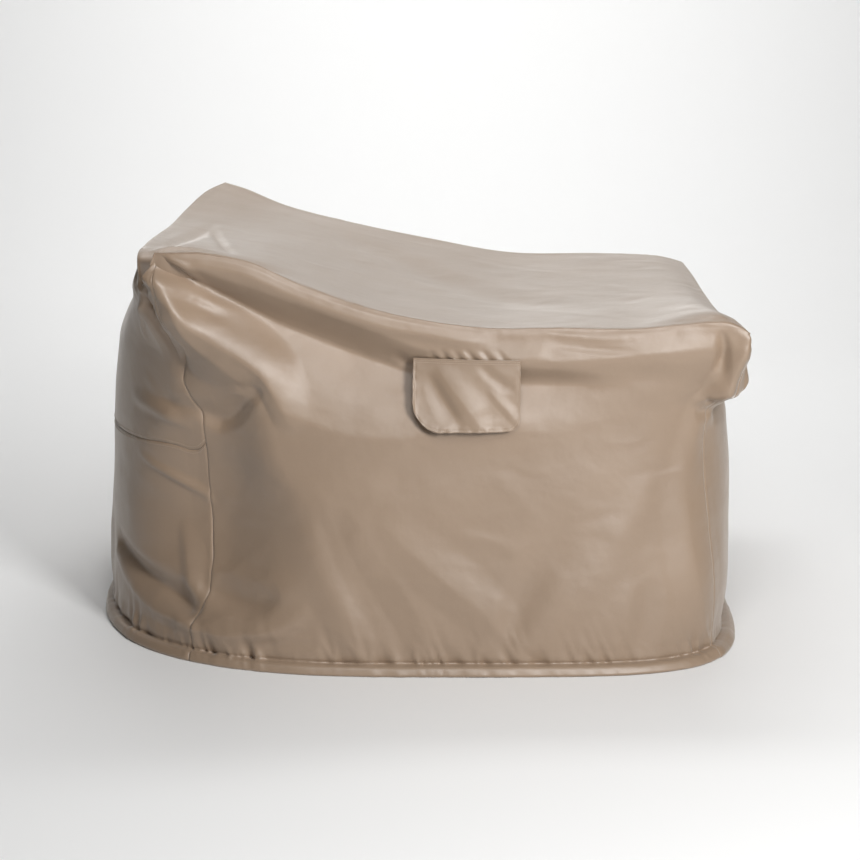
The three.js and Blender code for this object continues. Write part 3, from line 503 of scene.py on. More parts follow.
def plain_fold(side, high, over, under, peak, shapes, line):
    """A fold that rises from both ends of its line to one highest place."""
    rows = []
    for step, (x, y) in enumerate(even_points(np.array(line), PLAIN_FOLD_ROWS)):
        share = step / PLAIN_FOLD_ROWS
        rise = smooth_step(0, peak, share) if share < peak else 1 - smooth_step(peak, 1, share)
        wide = END_WIDTH + (1 - END_WIDTH) * rise
        rows.append((round(x), round(y), round(high * rise, 1), round(over * wide), round(under * wide)))
    return Fold(f"{side} fold", shapes, rows)


def flap_pucker(at, deep):
    """A short crease that runs down and right from the flap's upper edge."""
    return Fold("pucker above the flap", (0.8, 0.6), (
        (at, 506, 0, 4, 5), (at + 8, 497, -deep, 6, 7), (at + 17, 487, -1.2 * deep, 7, 8),
        (at + 22, 478, 0, 5, 6),
    ))


WALL_FOLDS += tuple(plain_fold(*fold) for fold in PLAIN_FOLDS)
WALL_FOLDS += tuple(flap_pucker(*pucker) for pucker in FLAP_PUCKERS)
CURVES = {
    name: steady_curve([row.down for row in BODY], [getattr(row, name) for row in BODY])
    for name in BodyRow._fields[1:]
}
CORNER_SEAM_CURVE = steady_curve(*zip(*CORNER_SEAM))


def plan_point(angle, down):
    """Plan point of the body at an angle seen from its middle, at a share of the height."""
    c, s = np.cos(angle), np.sin(angle)
    length = np.where(c < 0, CURVES["back"](down), CURVES["front"](down))
    near = np.where(c < 0, CURVES["near_back"](down), CURVES["near_front"](down))
    far = np.where(c < 0, CURVES["far_back"](down), CURVES["far_front"](down))
    square = np.where(s < 0, near, far)
    radius = (np.abs(c / length) ** square + np.abs(s / CURVES["side"](down)) ** square) ** (-1 / square)
    return radius * c, radius * s


EDGES = (NEAR_EDGE, FRONT_EDGE, FAR_EDGE, BACK_EDGE)
SEAM = np.vstack([seam_curve(rows, EDGE_STEPS)[:-1] for rows in EDGES] + [NEAR_EDGE[0]])
SEAM_AT = np.arange(len(SEAM)) / EDGE_STEPS
SEAM_ANGLE = np.unwrap(np.arctan2(SEAM[:, 1], SEAM[:, 0]))


def evened_heights():
    """Heights of the top seam with its short dips evened out."""
    heights = SEAM[:-1, 2]
    weight = np.hanning(2 * EVEN_REACH + 1)
    padded = np.concatenate([heights[-EVEN_REACH:], heights, heights[:EVEN_REACH]])
    even = np.convolve(padded, weight / weight.sum(), "same")[EVEN_REACH:-EVEN_REACH]
    return np.append(even, even[0])


SEAM_EVEN = evened_heights()
# Angles round the body at mid height, from the middle of the near side, and the distances there
RING = np.linspace(-math.pi / 2, 1.5 * math.pi, RING_STEPS + 1)
RING_WAY = distances(np.stack(plan_point(RING, MID_DOWN), 1))
ROUND = RING_WAY[-1]


def round_of(angle):
    """Distance round the body at mid height, in millimetres, zero at the middle of the near side."""
    turns = np.floor((angle + math.pi / 2) / TURN)
    return turns * ROUND + np.interp(angle - turns * TURN, RING, RING_WAY)


def angle_of(way):
    """Angle seen from the body's middle at a distance round it."""
    turns = np.floor(way / ROUND)
    return turns * TURN + np.interp(way - turns * ROUND, RING_WAY, RING)


def round_at(u, down):
    """Distance round the body of the column u, 0 to 4 over the four sides, at a share of the height."""
    side = np.clip(np.floor(u), 0, SIDES - 1)
    share = u - side
    near_start = np.where(side == 0, 1 - share / CORNER_SEAM_REACH, 0)
    near_end = np.where(side == SIDES - 1, 1 - (1 - share) / CORNER_SEAM_REACH, 0)
    pull = np.clip(near_start + near_end, 0, 1) ** CORNER_SEAM_FADE
    return round_of(np.interp(u, SEAM_AT, SEAM_ANGLE)) + pull * CORNER_SEAM_CURVE(down)


def matched(first, second):
    """Two numbers or arrays as arrays of one shape."""
    return np.broadcast_arrays(np.asarray(first, float), np.asarray(second, float))


def seam_point(u):
    """Point of the top seam."""
    return np.stack([np.interp(u, SEAM_AT, column) for column in SEAM.T], -1)


def wall_high(u):
    """Height of the walls, without the short dips of the top seam."""
    return np.interp(u, SEAM_AT, SEAM_EVEN)


def body_point(u, down):
    """Smooth body of the walls, before folds."""
    u, down = matched(u, down)
    x, y = plan_point(angle_of(round_at(u, down)), down)
    own = smooth_step(0, BLEND_DOWN, down)
    seam = seam_point(u)
    seam_x, seam_y, even = seam[..., 0], seam[..., 1], wall_high(u)
    dip = (seam[..., 2] - even) * (1 - smooth_step(0, DIP_DOWN, down))
    x, y = seam_x + (x - seam_x) * own, seam_y + (y - seam_y) * own
    return np.stack([x, y, even * (1 - down) + dip], -1)


def unit(v):
    """Ways of length one."""
    return v / (np.linalg.norm(v, axis=-1, keepdims=True) + 1e-12)


def body_normal(u, down):
    """Outward ways of the smooth body."""
    u, down = matched(u, down)
    along = body_point((u + NUDGE) % SIDES, down) - body_point((u - NUDGE) % SIDES, down)
    fall = body_point(u, np.minimum(1, down + NUDGE)) - body_point(u, np.maximum(0, down - NUDGE))
    return unit(np.cross(fall, along))


def fold_steps(rows):
    """A fold's line as short steps: its path, heights and widths are smooth curves."""
    p = np.array(rows, float)
    along = distances(p[:, :2])
    sizes = [steady_curve(along, column) for column in p.T[2:]]
    p = with_ends(p)
    runs = []
    for a, b, c, d, start, end in zip(p[:-3], p[1:-2], p[2:-1], p[3:], along[:-1], along[1:]):
        count = max(1, int((end - start) / FOLD_STEP))
        q = np.linspace(0, 1, count, endpoint=False)[:, None]
        run = 0.5 * (2 * b + (c - a) * q + (2 * a - 5 * b + 4 * c - d) * q ** 2
                     + (3 * b - a - 3 * c + d) * q ** 3)
        run[:, 2:] = np.stack([size(start + (end - start) * q[:, 0]) for size in sizes], 1)
        runs.append(run)
    return np.vstack(runs + [p[-2:-1]])


def fold_side(x, shape):
    """Height of one side of a fold at a share x of its width."""
    rounded, straight = 0.5 * (1 + np.cos(math.pi * x)), 1 - x
    if shape <= 1:
        return rounded + (straight - rounded) * shape
    return straight + (straight * straight - straight) * (shape - 1)


def fold_height(fold, x, y):
    """Height that one fold adds at points of its sheet."""
    steps = fold_steps(fold.rows)
    points = np.stack([x.ravel(), y.ravel()], 1)
    reach = steps[:, 3:].max()
    inside = np.all((points > steps[:, :2].min(0) - reach) & (points < steps[:, :2].max(0) + reach), 1)
    height = np.zeros(len(points))
    if inside.any():
        starts, ways = steps[:-1, :2], np.diff(steps[:, :2], axis=0)
        from_start = points[inside][:, None] - starts[None]
        share = np.clip((from_start * ways).sum(2) / (ways ** 2).sum(1), 0, 1)
        away = np.linalg.norm(from_start - share[..., None] * ways, axis=2)
        nearest = away.argmin(1)
        pick = np.arange(len(nearest))
        distance, at = away[pick, nearest], share[pick, nearest][:, None]
        way, offset = ways[nearest], from_start[pick, nearest]
        side = (way[:, 0] * offset[:, 1] - way[:, 1] * offset[:, 0]) / np.linalg.norm(way, axis=1)
        crest, over, under = (steps[nearest] * (1 - at) + steps[nearest + 1] * at)[:, 2:].T
        above = fold_side(np.clip(distance / np.maximum(over, 1), 0, 1), fold.shapes[0])
        below = fold_side(np.clip(distance / np.maximum(under, 1), 0, 1), fold.shapes[1])
        mix = 0.5 + 0.5 * np.tanh(side / SIDE_SOFTNESS)
        height[inside] = crest * (above * mix + below * (1 - mix))
    return height.reshape(x.shape)


def soft_noise(x, y, kind):
    """Smooth unevenness between -1 and 1 with bumps of about its size."""
    size, seed = NOISES[kind]
    table = np.random.default_rng(seed).uniform(-1, 1, (NOISE_CELLS, NOISE_CELLS))
    px, py = x / size, y / size
    ix, iy = np.floor(px).astype(int), np.floor(py).astype(int)
    fx, fy = smooth_step(0, 1, px - ix), smooth_step(0, 1, py - iy)

    def across(row):
        left, right = (table[column % NOISE_CELLS, row % NOISE_CELLS] for column in (ix, ix + 1))
        return left * (1 - fx) + right * fx

    return across(iy) * (1 - fy) + across(iy + 1) * fy


def bell(distance, reach):
    """One at no distance, dying out softly with it."""
    return np.exp(-((distance / reach) ** 2))


def seam_distances(u, down):
    """Distances in millimetres to the corner seams, the top seam and the seam across the back."""
    side = np.clip(np.floor(u), 0, SIDES - 1)
    at_back = side == SIDES - 1
    way = round_at(u, down)
    start = round_at(side, down)
    end = np.where(at_back, round_at(0 * u, down) + ROUND, round_at(side + 1, down))
    height = wall_high(u)
    across = np.where(at_back, np.abs(down - BACK_SEAM_DOWN) * height, FAR_AWAY)
    return np.minimum(np.abs(way - start), np.abs(end - way)), down * height, across


def hem_height(z, cloth):
    """The rolled hem round its cord, and the stitched groove above it."""
    share = np.clip(z / cloth.hem_high, 0, 1)
    roll = (1 - HEM_LEAN * share) * np.sqrt(1 - (2 * share - 1) ** 6)
    above = z - cloth.hem_high - GROOVE_OVER
    groove = bell(above, GROOVE_REACH)
    tuck = np.exp(-np.where(above > 0, above / cloth.tuck_reach, above / -TUCK_UNDER))
    return cloth.hem_stands * roll - cloth.hem_groove * groove - cloth.hem_tuck * tuck


def gather_height(way, z, cloth):
    """The gathers that run up from the hem, sharp between soft ones."""
    strength = np.full(way.shape, GATHER_LEAST)
    for at, reach, most in GATHERS:
        turn = (way - at + ROUND / 2) % ROUND - ROUND / 2
        strength = strength + most * bell(turn, reach)
    lean = way + GATHER_LEAN * z
    creases = 0.7 - 2 * np.abs(soft_noise(lean, z / GATHER_LONG, "gathers"))
    fine = creases + 0.8 * soft_noise(lean, z / WIDE_GATHER_LONG, "wide gathers")
    above = np.exp(-np.clip(z - cloth.hem_high, 0, None) / cloth.gather_reach)
    on_hem = np.where(z < cloth.hem_high, GATHER_ON_HEM, 1)
    return cloth.gather_high * np.clip(strength, 0, GATHER_MOST) * fine * above * on_hem


def wall_height(u, down, z, cloth):
    """Everything that stands off the smooth body of the walls, in millimetres."""
    way = round_at(u, down)
    folds = np.zeros(way.shape)
    for shift in (-ROUND, 0, ROUND):
        for fold in WALL_FOLDS:
            folds += fold_height(fold, way + shift, z)
    corner, top, across = seam_distances(u, down)
    seam = np.minimum(corner, across)
    start = smooth_step(0, FOLD_START, down)
    pucker = np.exp(-seam / cloth.pucker_reach) * soft_noise(z, way, "seam puckers")
    pucker += np.exp(-top / cloth.pucker_reach) * soft_noise(way, z, "top seam puckers")
    uneven = soft_noise(way, z, "wall") + FINE_SHARE * soft_noise(way, z, "fine wall")
    height = folds * start + cloth.uneven * uneven * start
    height += cloth.pucker_high * pucker * smooth_step(0, PUCKER_START, top)
    height += cloth.rim_high * bell(top - RIM_AT, RIM_REACH)
    height -= cloth.seam_deep * (bell(seam, SEAM_REACH) + 0.5 * bell(top, TOP_SEAM_REACH))
    return height + hem_height(z, cloth) + gather_height(way, z, cloth)


def back_sag(u, down):
    """Share of the height by which the seam across the back and the cloth beside it hang lower."""
    near_seam = np.interp(down, (BACK_SAG_FROM, BACK_SEAM_DOWN, BACK_SAG_TO), (0, 1, 0))
    return BACK_SAG * near_seam * np.where(u > SIDES - 1, np.sin(math.pi * (u % 1)), 0)


def wall_point(u, down, cloth):
    """Outer face of the walls, in millimetres from the floor."""
    u, down = matched(u, down)
    low = down + back_sag(u, down)
    point = body_point(u, low)
    height = wall_height(u, down, point[..., 2], cloth)
    point = point + body_normal(u, low) * height[..., None]
    point[..., 2] = np.maximum(point[..., 2], 0)
    return point


def top_base(u, v):
    """Top panel between its four seams: u from the chair's back to its front, v from near to far."""

    def across(near, far):
        return seam_point(near) * (1 - v)[..., None] + seam_point(far) * v[..., None]

    point = across(u, 3 - u)
    back_line, front_line = across(0 * v, 0 * v + 3), across(0 * v + 1, 0 * v + 2)
    point += (seam_point(4 - v) - back_line) * (1 - smooth_step(0, BACK_REACH, u))[..., None]
    point += (seam_point(1 + v) - front_line) * (1 - smooth_step(0, FRONT_REACH, 1 - u))[..., None]
    point[..., 2] -= TOP_SAG * np.sin(math.pi * u) * np.sin(math.pi * v)
    return point


def top_point(u, v, cloth):
    """Outer face of the top panel, in millimetres from the floor."""
    u, v = matched(u, v)
    point = top_base(u, v)
    along_u = top_base(np.minimum(1, u + NUDGE), v) - top_base(np.maximum(0, u - NUDGE), v)
    along_v = top_base(u, np.minimum(1, v + NUDGE)) - top_base(u, np.maximum(0, v - NUDGE))
    edge = np.minimum(np.minimum(u, 1 - u) * NEAR_LENGTH, np.minimum(v, 1 - v) * TOP_WIDTH)
    x, y = point[..., 0], point[..., 1]
    folds = sum(fold_height(fold, x, y) for fold in TOP_FOLDS)
    uneven = soft_noise(x, y, "top") + FINE_SHARE * soft_noise(x, y, "fine top")
    pucker = np.exp(-edge / cloth.pucker_reach) * soft_noise(x, y, "top puckers")
    height = (folds + cloth.uneven * uneven) * smooth_step(0, TOP_FOLD_EDGE, edge)
    height += 0.5 * cloth.rim_high * bell(edge - TOP_RIM_AT, TOP_RIM_REACH)
    height += cloth.pucker_high * pucker * smooth_step(0, PUCKER_START, edge)
    height -= cloth.seam_deep * bell(edge, TOP_SEAM_REACH)
    return point + unit(np.cross(along_u, along_v)) * height[..., None]


def rows_down(low, high):
    """Shares of the height of the rows of cells between two of them, closer by the back's seam."""
    rows = np.concatenate([np.linspace(a, b, n, endpoint=False) for a, b, n in ROW_RUNS])
    rows = rows[(rows > low + LEAST_ROW) & (rows < high - LEAST_ROW)]
    below = low + CLOSE_ROWS if low else []
    above = high - CLOSE_ROWS if high < 1 else []
    return np.unique(np.concatenate([[low, high], below, above, rows]))


def shares_across(cells):
    """Even shares with a few close ones by the seams at both ends."""
    even = np.linspace(0, 1, cells + 1)
    return np.unique(np.concatenate([even, CLOSE_COLUMNS, 1 - CLOSE_COLUMNS]))


def closed_sheet(name, outer, way, thick, material, seam_gap):
    """A sheet with two faces and closed rims: columns to the right, rows downwards, seen from outside."""
    columns, rows = outer.shape[:2]
    along = np.gradient(outer, axis=0)
    fall = np.gradient(outer, axis=1)
    inner = outer - unit(np.cross(fall, along)) * thick
    inner[..., 2] = np.maximum(inner[..., 2], 0)
    outer, inner = drawn_in(outer, seam_gap), drawn_in(inner, seam_gap)
    points = np.concatenate([outer.reshape(-1, 3), inner.reshape(-1, 3)])
    points[:, 2] += FLOOR
    at = np.arange(columns * rows).reshape(columns, rows)
    back = at + columns * rows
    faces = [
        quads(at[:-1, :-1], at[:-1, 1:], at[1:, 1:], at[1:, :-1]),
        quads(back[:-1, :-1], back[1:, :-1], back[1:, 1:], back[:-1, 1:]),
        quads(at[:-1, 0], at[1:, 0], back[1:, 0], back[:-1, 0]),
        quads(at[1:, -1], at[:-1, -1], back[:-1, -1], back[1:, -1]),
        quads(at[0, 1:], at[0, :-1], back[0, :-1], back[0, 1:]),
        quads(at[-1, :-1], at[-1, 1:], back[-1, 1:], back[-1, :-1]),
    ]
    flat = np.concatenate([way.reshape(-1, 2)] * 2)
    return cloth_object(name, points * MM, np.concatenate(faces), flat * MM, material)


def drawn_in(face, gap):
    """A face of a sheet with its border half a seam gap inside the seams."""
    face = face.copy()
    for border, inside in ((np.s_[0], np.s_[1]), (np.s_[-1], np.s_[-2]),
                           (np.s_[:, 0], np.s_[:, 1]), (np.s_[:, -1], np.s_[:, -2])):
        face[border] += unit(face[inside] - face[border]) * gap / 2
    return face


def quads(*corners):
    """Faces from four grids of the numbers of their corners."""
    return np.stack([c.ravel() for c in corners], 1)


def shown_object(name, data):
    """An object in the scene with the given mesh, light or camera."""
    made = bpy.data.objects.new(name, data)
    bpy.context.scene.collection.objects.link(made)
    return made


def cloth_object(name, points, faces, flat, material):
    """A smooth-shaded mesh object at the origin with the cloth's own flat measure as its UV map."""
    mesh = bpy.data.meshes.new(name)
    mesh.from_pydata(points.tolist(), [], faces.tolist())
    mesh.update()
    mesh.polygons.foreach_set("use_smooth", np.ones(len(mesh.polygons), bool))
    corners = np.empty(len(mesh.loops), np.int32)
    mesh.loops.foreach_get("vertex_index", corners)
    layer = mesh.uv_layers.new(name="cloth_flat")
    layer.data.foreach_set("uv", flat[corners].astype(np.float32).ravel())
    mesh.materials.append(material)
    return shown_object(name, mesh)


def face_area(outer):
    """Area of a grid of points in square metres."""
    a = outer[1:, :-1] - outer[:-1, :-1]
    b = outer[:-1, 1:] - outer[:-1, :-1]
    return float(np.linalg.norm(np.cross(a, b), axis=-1).sum()) * MM * MM


def dress(piece, node, flat, area):
    """Ties a sheet of cloth to the frame and hides the frame's part that it dresses; its area is capped at
    that of its flat rectangle and not used further.
    """
    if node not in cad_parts:
        raise RuntimeError(f"the frame has no node {node}")
    area = min(area, flat[0] * flat[1])
    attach(piece, BODY_NAME)
    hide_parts(node)


def near_wall_at(x, z, cloth):
    """Share along the near side and share of the height where its outer face has that x and height."""
    u = np.clip((x - NEAR_EDGE[0][0]) / NEAR_LENGTH, START_ROOM, 1 - START_ROOM)
    down = np.clip(1 - z / SEARCH_FROM, START_ROOM, 1 - START_ROOM)
    for _ in range(SEARCH_ROUNDS):
        point = wall_point(u, down, cloth)
        u = u + (x - point[..., 0]) / NEAR_LENGTH
        down = down + (point[..., 2] - z) / SEARCH_STEP
        u, down = (np.clip(share, SEARCH_ROOM, 1 - SEARCH_ROOM) for share in (u, down))
    return u, down


def flap_outline(flap):
    """Heights of the flap's lower edge along its width: rounded corners of two sizes."""
    across = np.linspace(0, 1, flap.cells_across + 1)
    x = flap.left + (flap.right - flap.left) * across
    low = np.full(x.shape, flap.bottom)
    for corner, radius in ((x - flap.left, flap.left_radius), (flap.right - x, flap.right_radius)):
        drop = radius - np.clip(corner, 0, radius)
        low = low + radius - np.sqrt(np.maximum(radius ** 2 - drop ** 2, 0))
    return across, x, low


def flap_faces(flap, cloth):
    """Outer face of the vent flap over the near side."""
    across, x, low = flap_outline(flap)
    rows = np.linspace(0, 1, flap.cells_down + 1)
    grid_x = np.broadcast_to(x[:, None], (len(x), len(rows)))
    z = flap.top + (low[:, None] - flap.top) * rows[None]
    u, down = near_wall_at(grid_x, z, cloth)
    wall_y = wall_point(u, down, cloth)[..., 1]
    hang = (flap.top - z) / (flap.top - flap.bottom)
    upper, lower = (np.polyval(np.polyfit(x, wall_y[:, row], 2), x)[:, None] - flap.stiff for row in (0, -1))
    wall_y = np.minimum(wall_y, upper + (lower - upper) * hang / hang[:, -1:])
    share = np.broadcast_to(across[:, None], z.shape)
    corner = flap.left_lift * (1 - share) ** FLAP_BEND + flap.right_lift * share ** FLAP_BEND
    lift = flap.seat + flap.hang * smooth_step(0, FLAP_HANG_FROM, hang) + corner * hang ** 2
    bend = sum(fold_height(fold, grid_x, z) for fold in FLAP_FOLDS)
    lift += smooth_step(0, FLAP_FOLDS_FROM, hang) * bend
    edge = np.minimum(np.minimum(grid_x - flap.left, flap.right - grid_x), z - low[:, None])
    uneven = FLAP_WAVE * soft_noise(grid_x, z, "flap edge") * np.exp(-edge / FLAP_WAVE_REACH)
    lift += uneven * smooth_step(0, FLAP_WAVE_FROM, hang)
    lift -= FLAP_DIP * bell(np.minimum(edge, flap.top - z) - flap.stitch_inset, FLAP_DIP_REACH)
    y = wall_y - np.maximum(lift, FLAP_ROOM) - flap.thick
    return np.stack([grid_x, y, z], -1)


def surface_line(points_of, first, second):
    """Points of a surface along a path of two coordinates, and its outward ways there."""
    a = points_of(first + STITCH_NUDGE, second) - points_of(first - STITCH_NUDGE, second)
    b = points_of(first, second + STITCH_NUDGE) - points_of(first, second - STITCH_NUDGE)
    return points_of(first, second), unit(np.cross(b, a))


def hem_line(cloth):
    """The stitched line over the hem, all the way round."""
    u = np.linspace(0, SIDES, HEM_LINE_POINTS)[:-1]
    down = 1 - (cloth.hem_high + GROOVE_OVER) / wall_high(u)
    return surface_line(lambda a, b: wall_point(a % SIDES, b, cloth), u, down)


def back_seam_lines(cloth):
    """The two stitched lines beside the seam across the back."""
    u = np.linspace(SIDES - 1 + BACK_LINE_END, SIDES - BACK_LINE_END, BACK_LINE_POINTS)
    downs = [BACK_SEAM_DOWN + aside / wall_high(u) for aside in (-BACK_LINE_ASIDE, BACK_LINE_ASIDE)]
    return [surface_line(lambda a, b: wall_point(a, b, cloth), u, down) for down in downs]


def flap_lines(flap, cloth):
    """The stitched line inside the flap's edges, and the double one along its upper edge."""
    face = flap_faces(flap, cloth)
    across, x, low = flap_outline(flap)
    inset = flap.stitch_inset
    left, right, top = flap.left + inset, flap.right - inset, flap.top - inset
    path = [(left, z) for z in np.linspace(top, flap.bottom + flap.left_radius, FLAP_LINE_POINTS)]
    for middle, radius, start in (
        (flap.left + flap.left_radius, flap.left_radius, 180),
        (flap.right - flap.right_radius, flap.right_radius, 270),
    ):
        for angle in np.radians(np.linspace(start, start + 90, CORNER_POINTS)):
            x_out, z_out = (radius - inset) * math.cos(angle), (radius - inset) * math.sin(angle)
            path.append((middle + x_out, flap.bottom + radius + z_out))
    path += [(right, z) for z in np.linspace(flap.bottom + flap.right_radius, top, FLAP_LINE_POINTS)]
    ends = np.linspace(flap.left + TOP_LINE_END, flap.right - TOP_LINE_END, TOP_LINE_POINTS)
    lines = []
    for line in (path, [(s, top) for s in ends], [(s, top - inset) for s in ends]):
        line = np.array(line)
        share = np.interp(line[:, 0], x, across)
        depth = (flap.top - line[:, 1]) / (flap.top - np.interp(line[:, 0], x, low))
        lines.append(grid_line(face, share, np.clip(depth, 0, 1)))
    return lines


def grid_line(face, first, second):
    """Points between the points of a grid, and the grid's outward ways there."""
    columns, rows = face.shape[0] - 1, face.shape[1] - 1
    normal = unit(np.cross(np.gradient(face, axis=1), np.gradient(face, axis=0)))

    def between(values):
        i = np.clip((first * columns).astype(int), 0, columns - 1)
        j = np.clip((second * rows).astype(int), 0, rows - 1)
        fi, fj = (first * columns - i)[:, None], (second * rows - j)[:, None]
        low = values[i, j] * (1 - fi) + values[i + 1, j] * fi
        high = values[i, j + 1] * (1 - fi) + values[i + 1, j + 1] * fi
        return low * (1 - fj) + high * fj

    return between(face), unit(between(normal))


def guide_object(name, lines):
    """Edges along the stitched lines, with the outward way at each point."""
    points, ways, edges = [], [], []
    for point, way in lines:
        first = sum(len(p) for p in points)
        points.append(point)
        ways.append(way)
        edges += [(first + k, first + k + 1) for k in range(len(point) - 1)]
    placed = np.concatenate(points)
    placed[:, 2] += FLOOR
    mesh = bpy.data.meshes.new(name)
    mesh.from_pydata((placed * MM).tolist(), edges, [])
    layer = mesh.attributes.new("outward", "FLOAT_VECTOR", "POINT")
    layer.data.foreach_set("vector", np.concatenate(ways).astype(np.float32).ravel())
    return shown_object(name, mesh)


def add_node(tree, kind, inputs=None, **settings):
    """A new node with its settings and the values of its inputs."""
    made = tree.nodes.new(kind)
    for key, value in settings.items():
        setattr(made, key, value)
    for key, value in (inputs or {}).items():
        made.inputs[key].default_value = value
    return made


def join(tree, *links):
    """Links between nodes, each given as node, output, node, input."""
    for giver, output, taker, entry in links:
        tree.links.new(giver.outputs[output], taker.inputs[entry])


def stitch_tree():
    """Geometry Nodes that lay one stitch after another along every edge path of a guide."""
    tree = bpy.data.node_groups.new("Stitch rows", "GeometryNodeTree")
    for name, kind, default in (
        ("Geometry", "Geometry", None), ("Pitch", "Float", 0.003), ("Stitch length", "Float", 0.0024),
        ("Thread thickness", "Float", 0.0006), ("Sink", "Float", 0.0001), ("Seed", "Int", 5),
        ("Thread", "Material", None),
    ):
        socket = tree.interface.new_socket(name, in_out="INPUT", socket_type="NodeSocket" + kind)
        if default is not None:
            socket.default_value = default
    tree.interface.new_socket("Geometry", in_out="OUTPUT", socket_type="NodeSocketGeometry")

    given = add_node(tree, "NodeGroupInput")
    to_curve = add_node(tree, "GeometryNodeMeshToCurve")
    even = add_node(tree, "GeometryNodeResampleCurve", mode="LENGTH")
    outward = add_node(
        tree, "GeometryNodeInputNamedAttribute", {"Name": "outward"}, data_type="FLOAT_VECTOR")
    tangent = add_node(tree, "GeometryNodeInputTangent")
    along = add_node(tree, "FunctionNodeAlignRotationToVector", axis="X")
    upright = add_node(tree, "FunctionNodeAlignRotationToVector", axis="Z", pivot_axis="X")
    wobble = add_node(tree, "FunctionNodeRandomValue", {"Min": -0.09, "Max": 0.09}, data_type="FLOAT")
    turn = add_node(tree, "FunctionNodeAxisAngleToRotation")
    turned = add_node(tree, "FunctionNodeRotateRotation", rotation_space="LOCAL")
    stitch = add_node(tree, "GeometryNodeMeshIcoSphere", {"Radius": 0.5, "Subdivisions": 1})
    size = add_node(tree, "ShaderNodeCombineXYZ")
    shaped = add_node(tree, "GeometryNodeTransform")
    sink = add_node(tree, "ShaderNodeVectorMath", operation="SCALE")
    lowered = add_node(tree, "GeometryNodeSetPosition")
    rows = add_node(tree, "GeometryNodeInstanceOnPoints")
    smooth = add_node(tree, "GeometryNodeSetShadeSmooth")
    real = add_node(tree, "GeometryNodeRealizeInstances")
    finish = add_node(tree, "GeometryNodeSetMaterial")
    done = add_node(tree, "NodeGroupOutput")
    join(
        tree,
        (given, "Geometry", to_curve, "Mesh"), (to_curve, "Curve", even, "Curve"),
        (given, "Pitch", even, "Length"), (given, "Seed", wobble, "Seed"),
        (tangent, "Tangent", along, "Vector"), (along, "Rotation", upright, "Rotation"),
        (outward, "Attribute", upright, "Vector"), (wobble, 1, turn, "Angle"),
        (upright, "Rotation", turned, "Rotation"), (turn, "Rotation", turned, "Rotate By"),
        (given, "Stitch length", size, "X"), (given, "Thread thickness", size, "Y"),
        (given, "Thread thickness", size, "Z"), (stitch, "Mesh", shaped, "Geometry"),
        (size, "Vector", shaped, "Scale"), (outward, "Attribute", sink, 0),
        (given, "Sink", sink, "Scale"), (even, "Curve", lowered, "Geometry"),
        (sink, "Vector", lowered, "Offset"), (lowered, "Geometry", rows, "Points"),
        (shaped, "Geometry", rows, "Instance"), (turned, "Rotation", rows, "Rotation"),
        (rows, "Instances", smooth, "Geometry"), (smooth, "Geometry", real, "Geometry"),
        (real, "Geometry", finish, "Geometry"), (given, "Thread", finish, "Material"),
        (finish, "Geometry", done, "Geometry"),
    )
    return tree


def stitched(name, lines, tree, thread, sewing):
    """A plain mesh of all stitches along the given lines."""
    guide = guide_object(name + "_guide", lines)
    modifier = guide.modifiers.new("Stitch rows", "NODES")
    modifier.node_group = tree
    socket = {item.name: item.identifier for item in tree.interface.items_tree if item.in_out == "INPUT"}
    for entry, value in (
        ("Pitch", sewing.pitch * MM), ("Stitch length", sewing.length * MM),
        ("Thread thickness", sewing.thread * MM), ("Sink", sewing.proud * MM),
        ("Seed", sewing.seed), ("Thread", thread),
    ):
        modifier[socket[entry]] = value
    shown = guide.evaluated_get(bpy.context.evaluated_depsgraph_get())
    mesh = bpy.data.meshes.new_from_object(shown)
    guide.modifiers.clear()
    bpy.data.objects.remove(guide)
    if not mesh.polygons:
        raise RuntimeError(f"no stitches were laid for {name}")
    return shown_object(name, mesh)


def coated(name, inputs):
    """A material with the given values of its shader; it, its node tree and its shader."""
    material = bpy.data.materials.new(name)
    material.use_nodes = True
    shader = material.node_tree.nodes["Principled BSDF"]
    for key, value in inputs.items():
        shader.inputs[key].default_value = value
    return material, material.node_tree, shader


def two_tones(tree, base, low, high, positions=(0, 1)):
    """A ramp between two tones of one colour."""
    tones = add_node(tree, "ShaderNodeValToRGB")
    for end, share, position in zip(tones.color_ramp.elements, (low, high), positions):
        end.position = position
        end.color = (*(share * c for c in base), 1)
    return tones


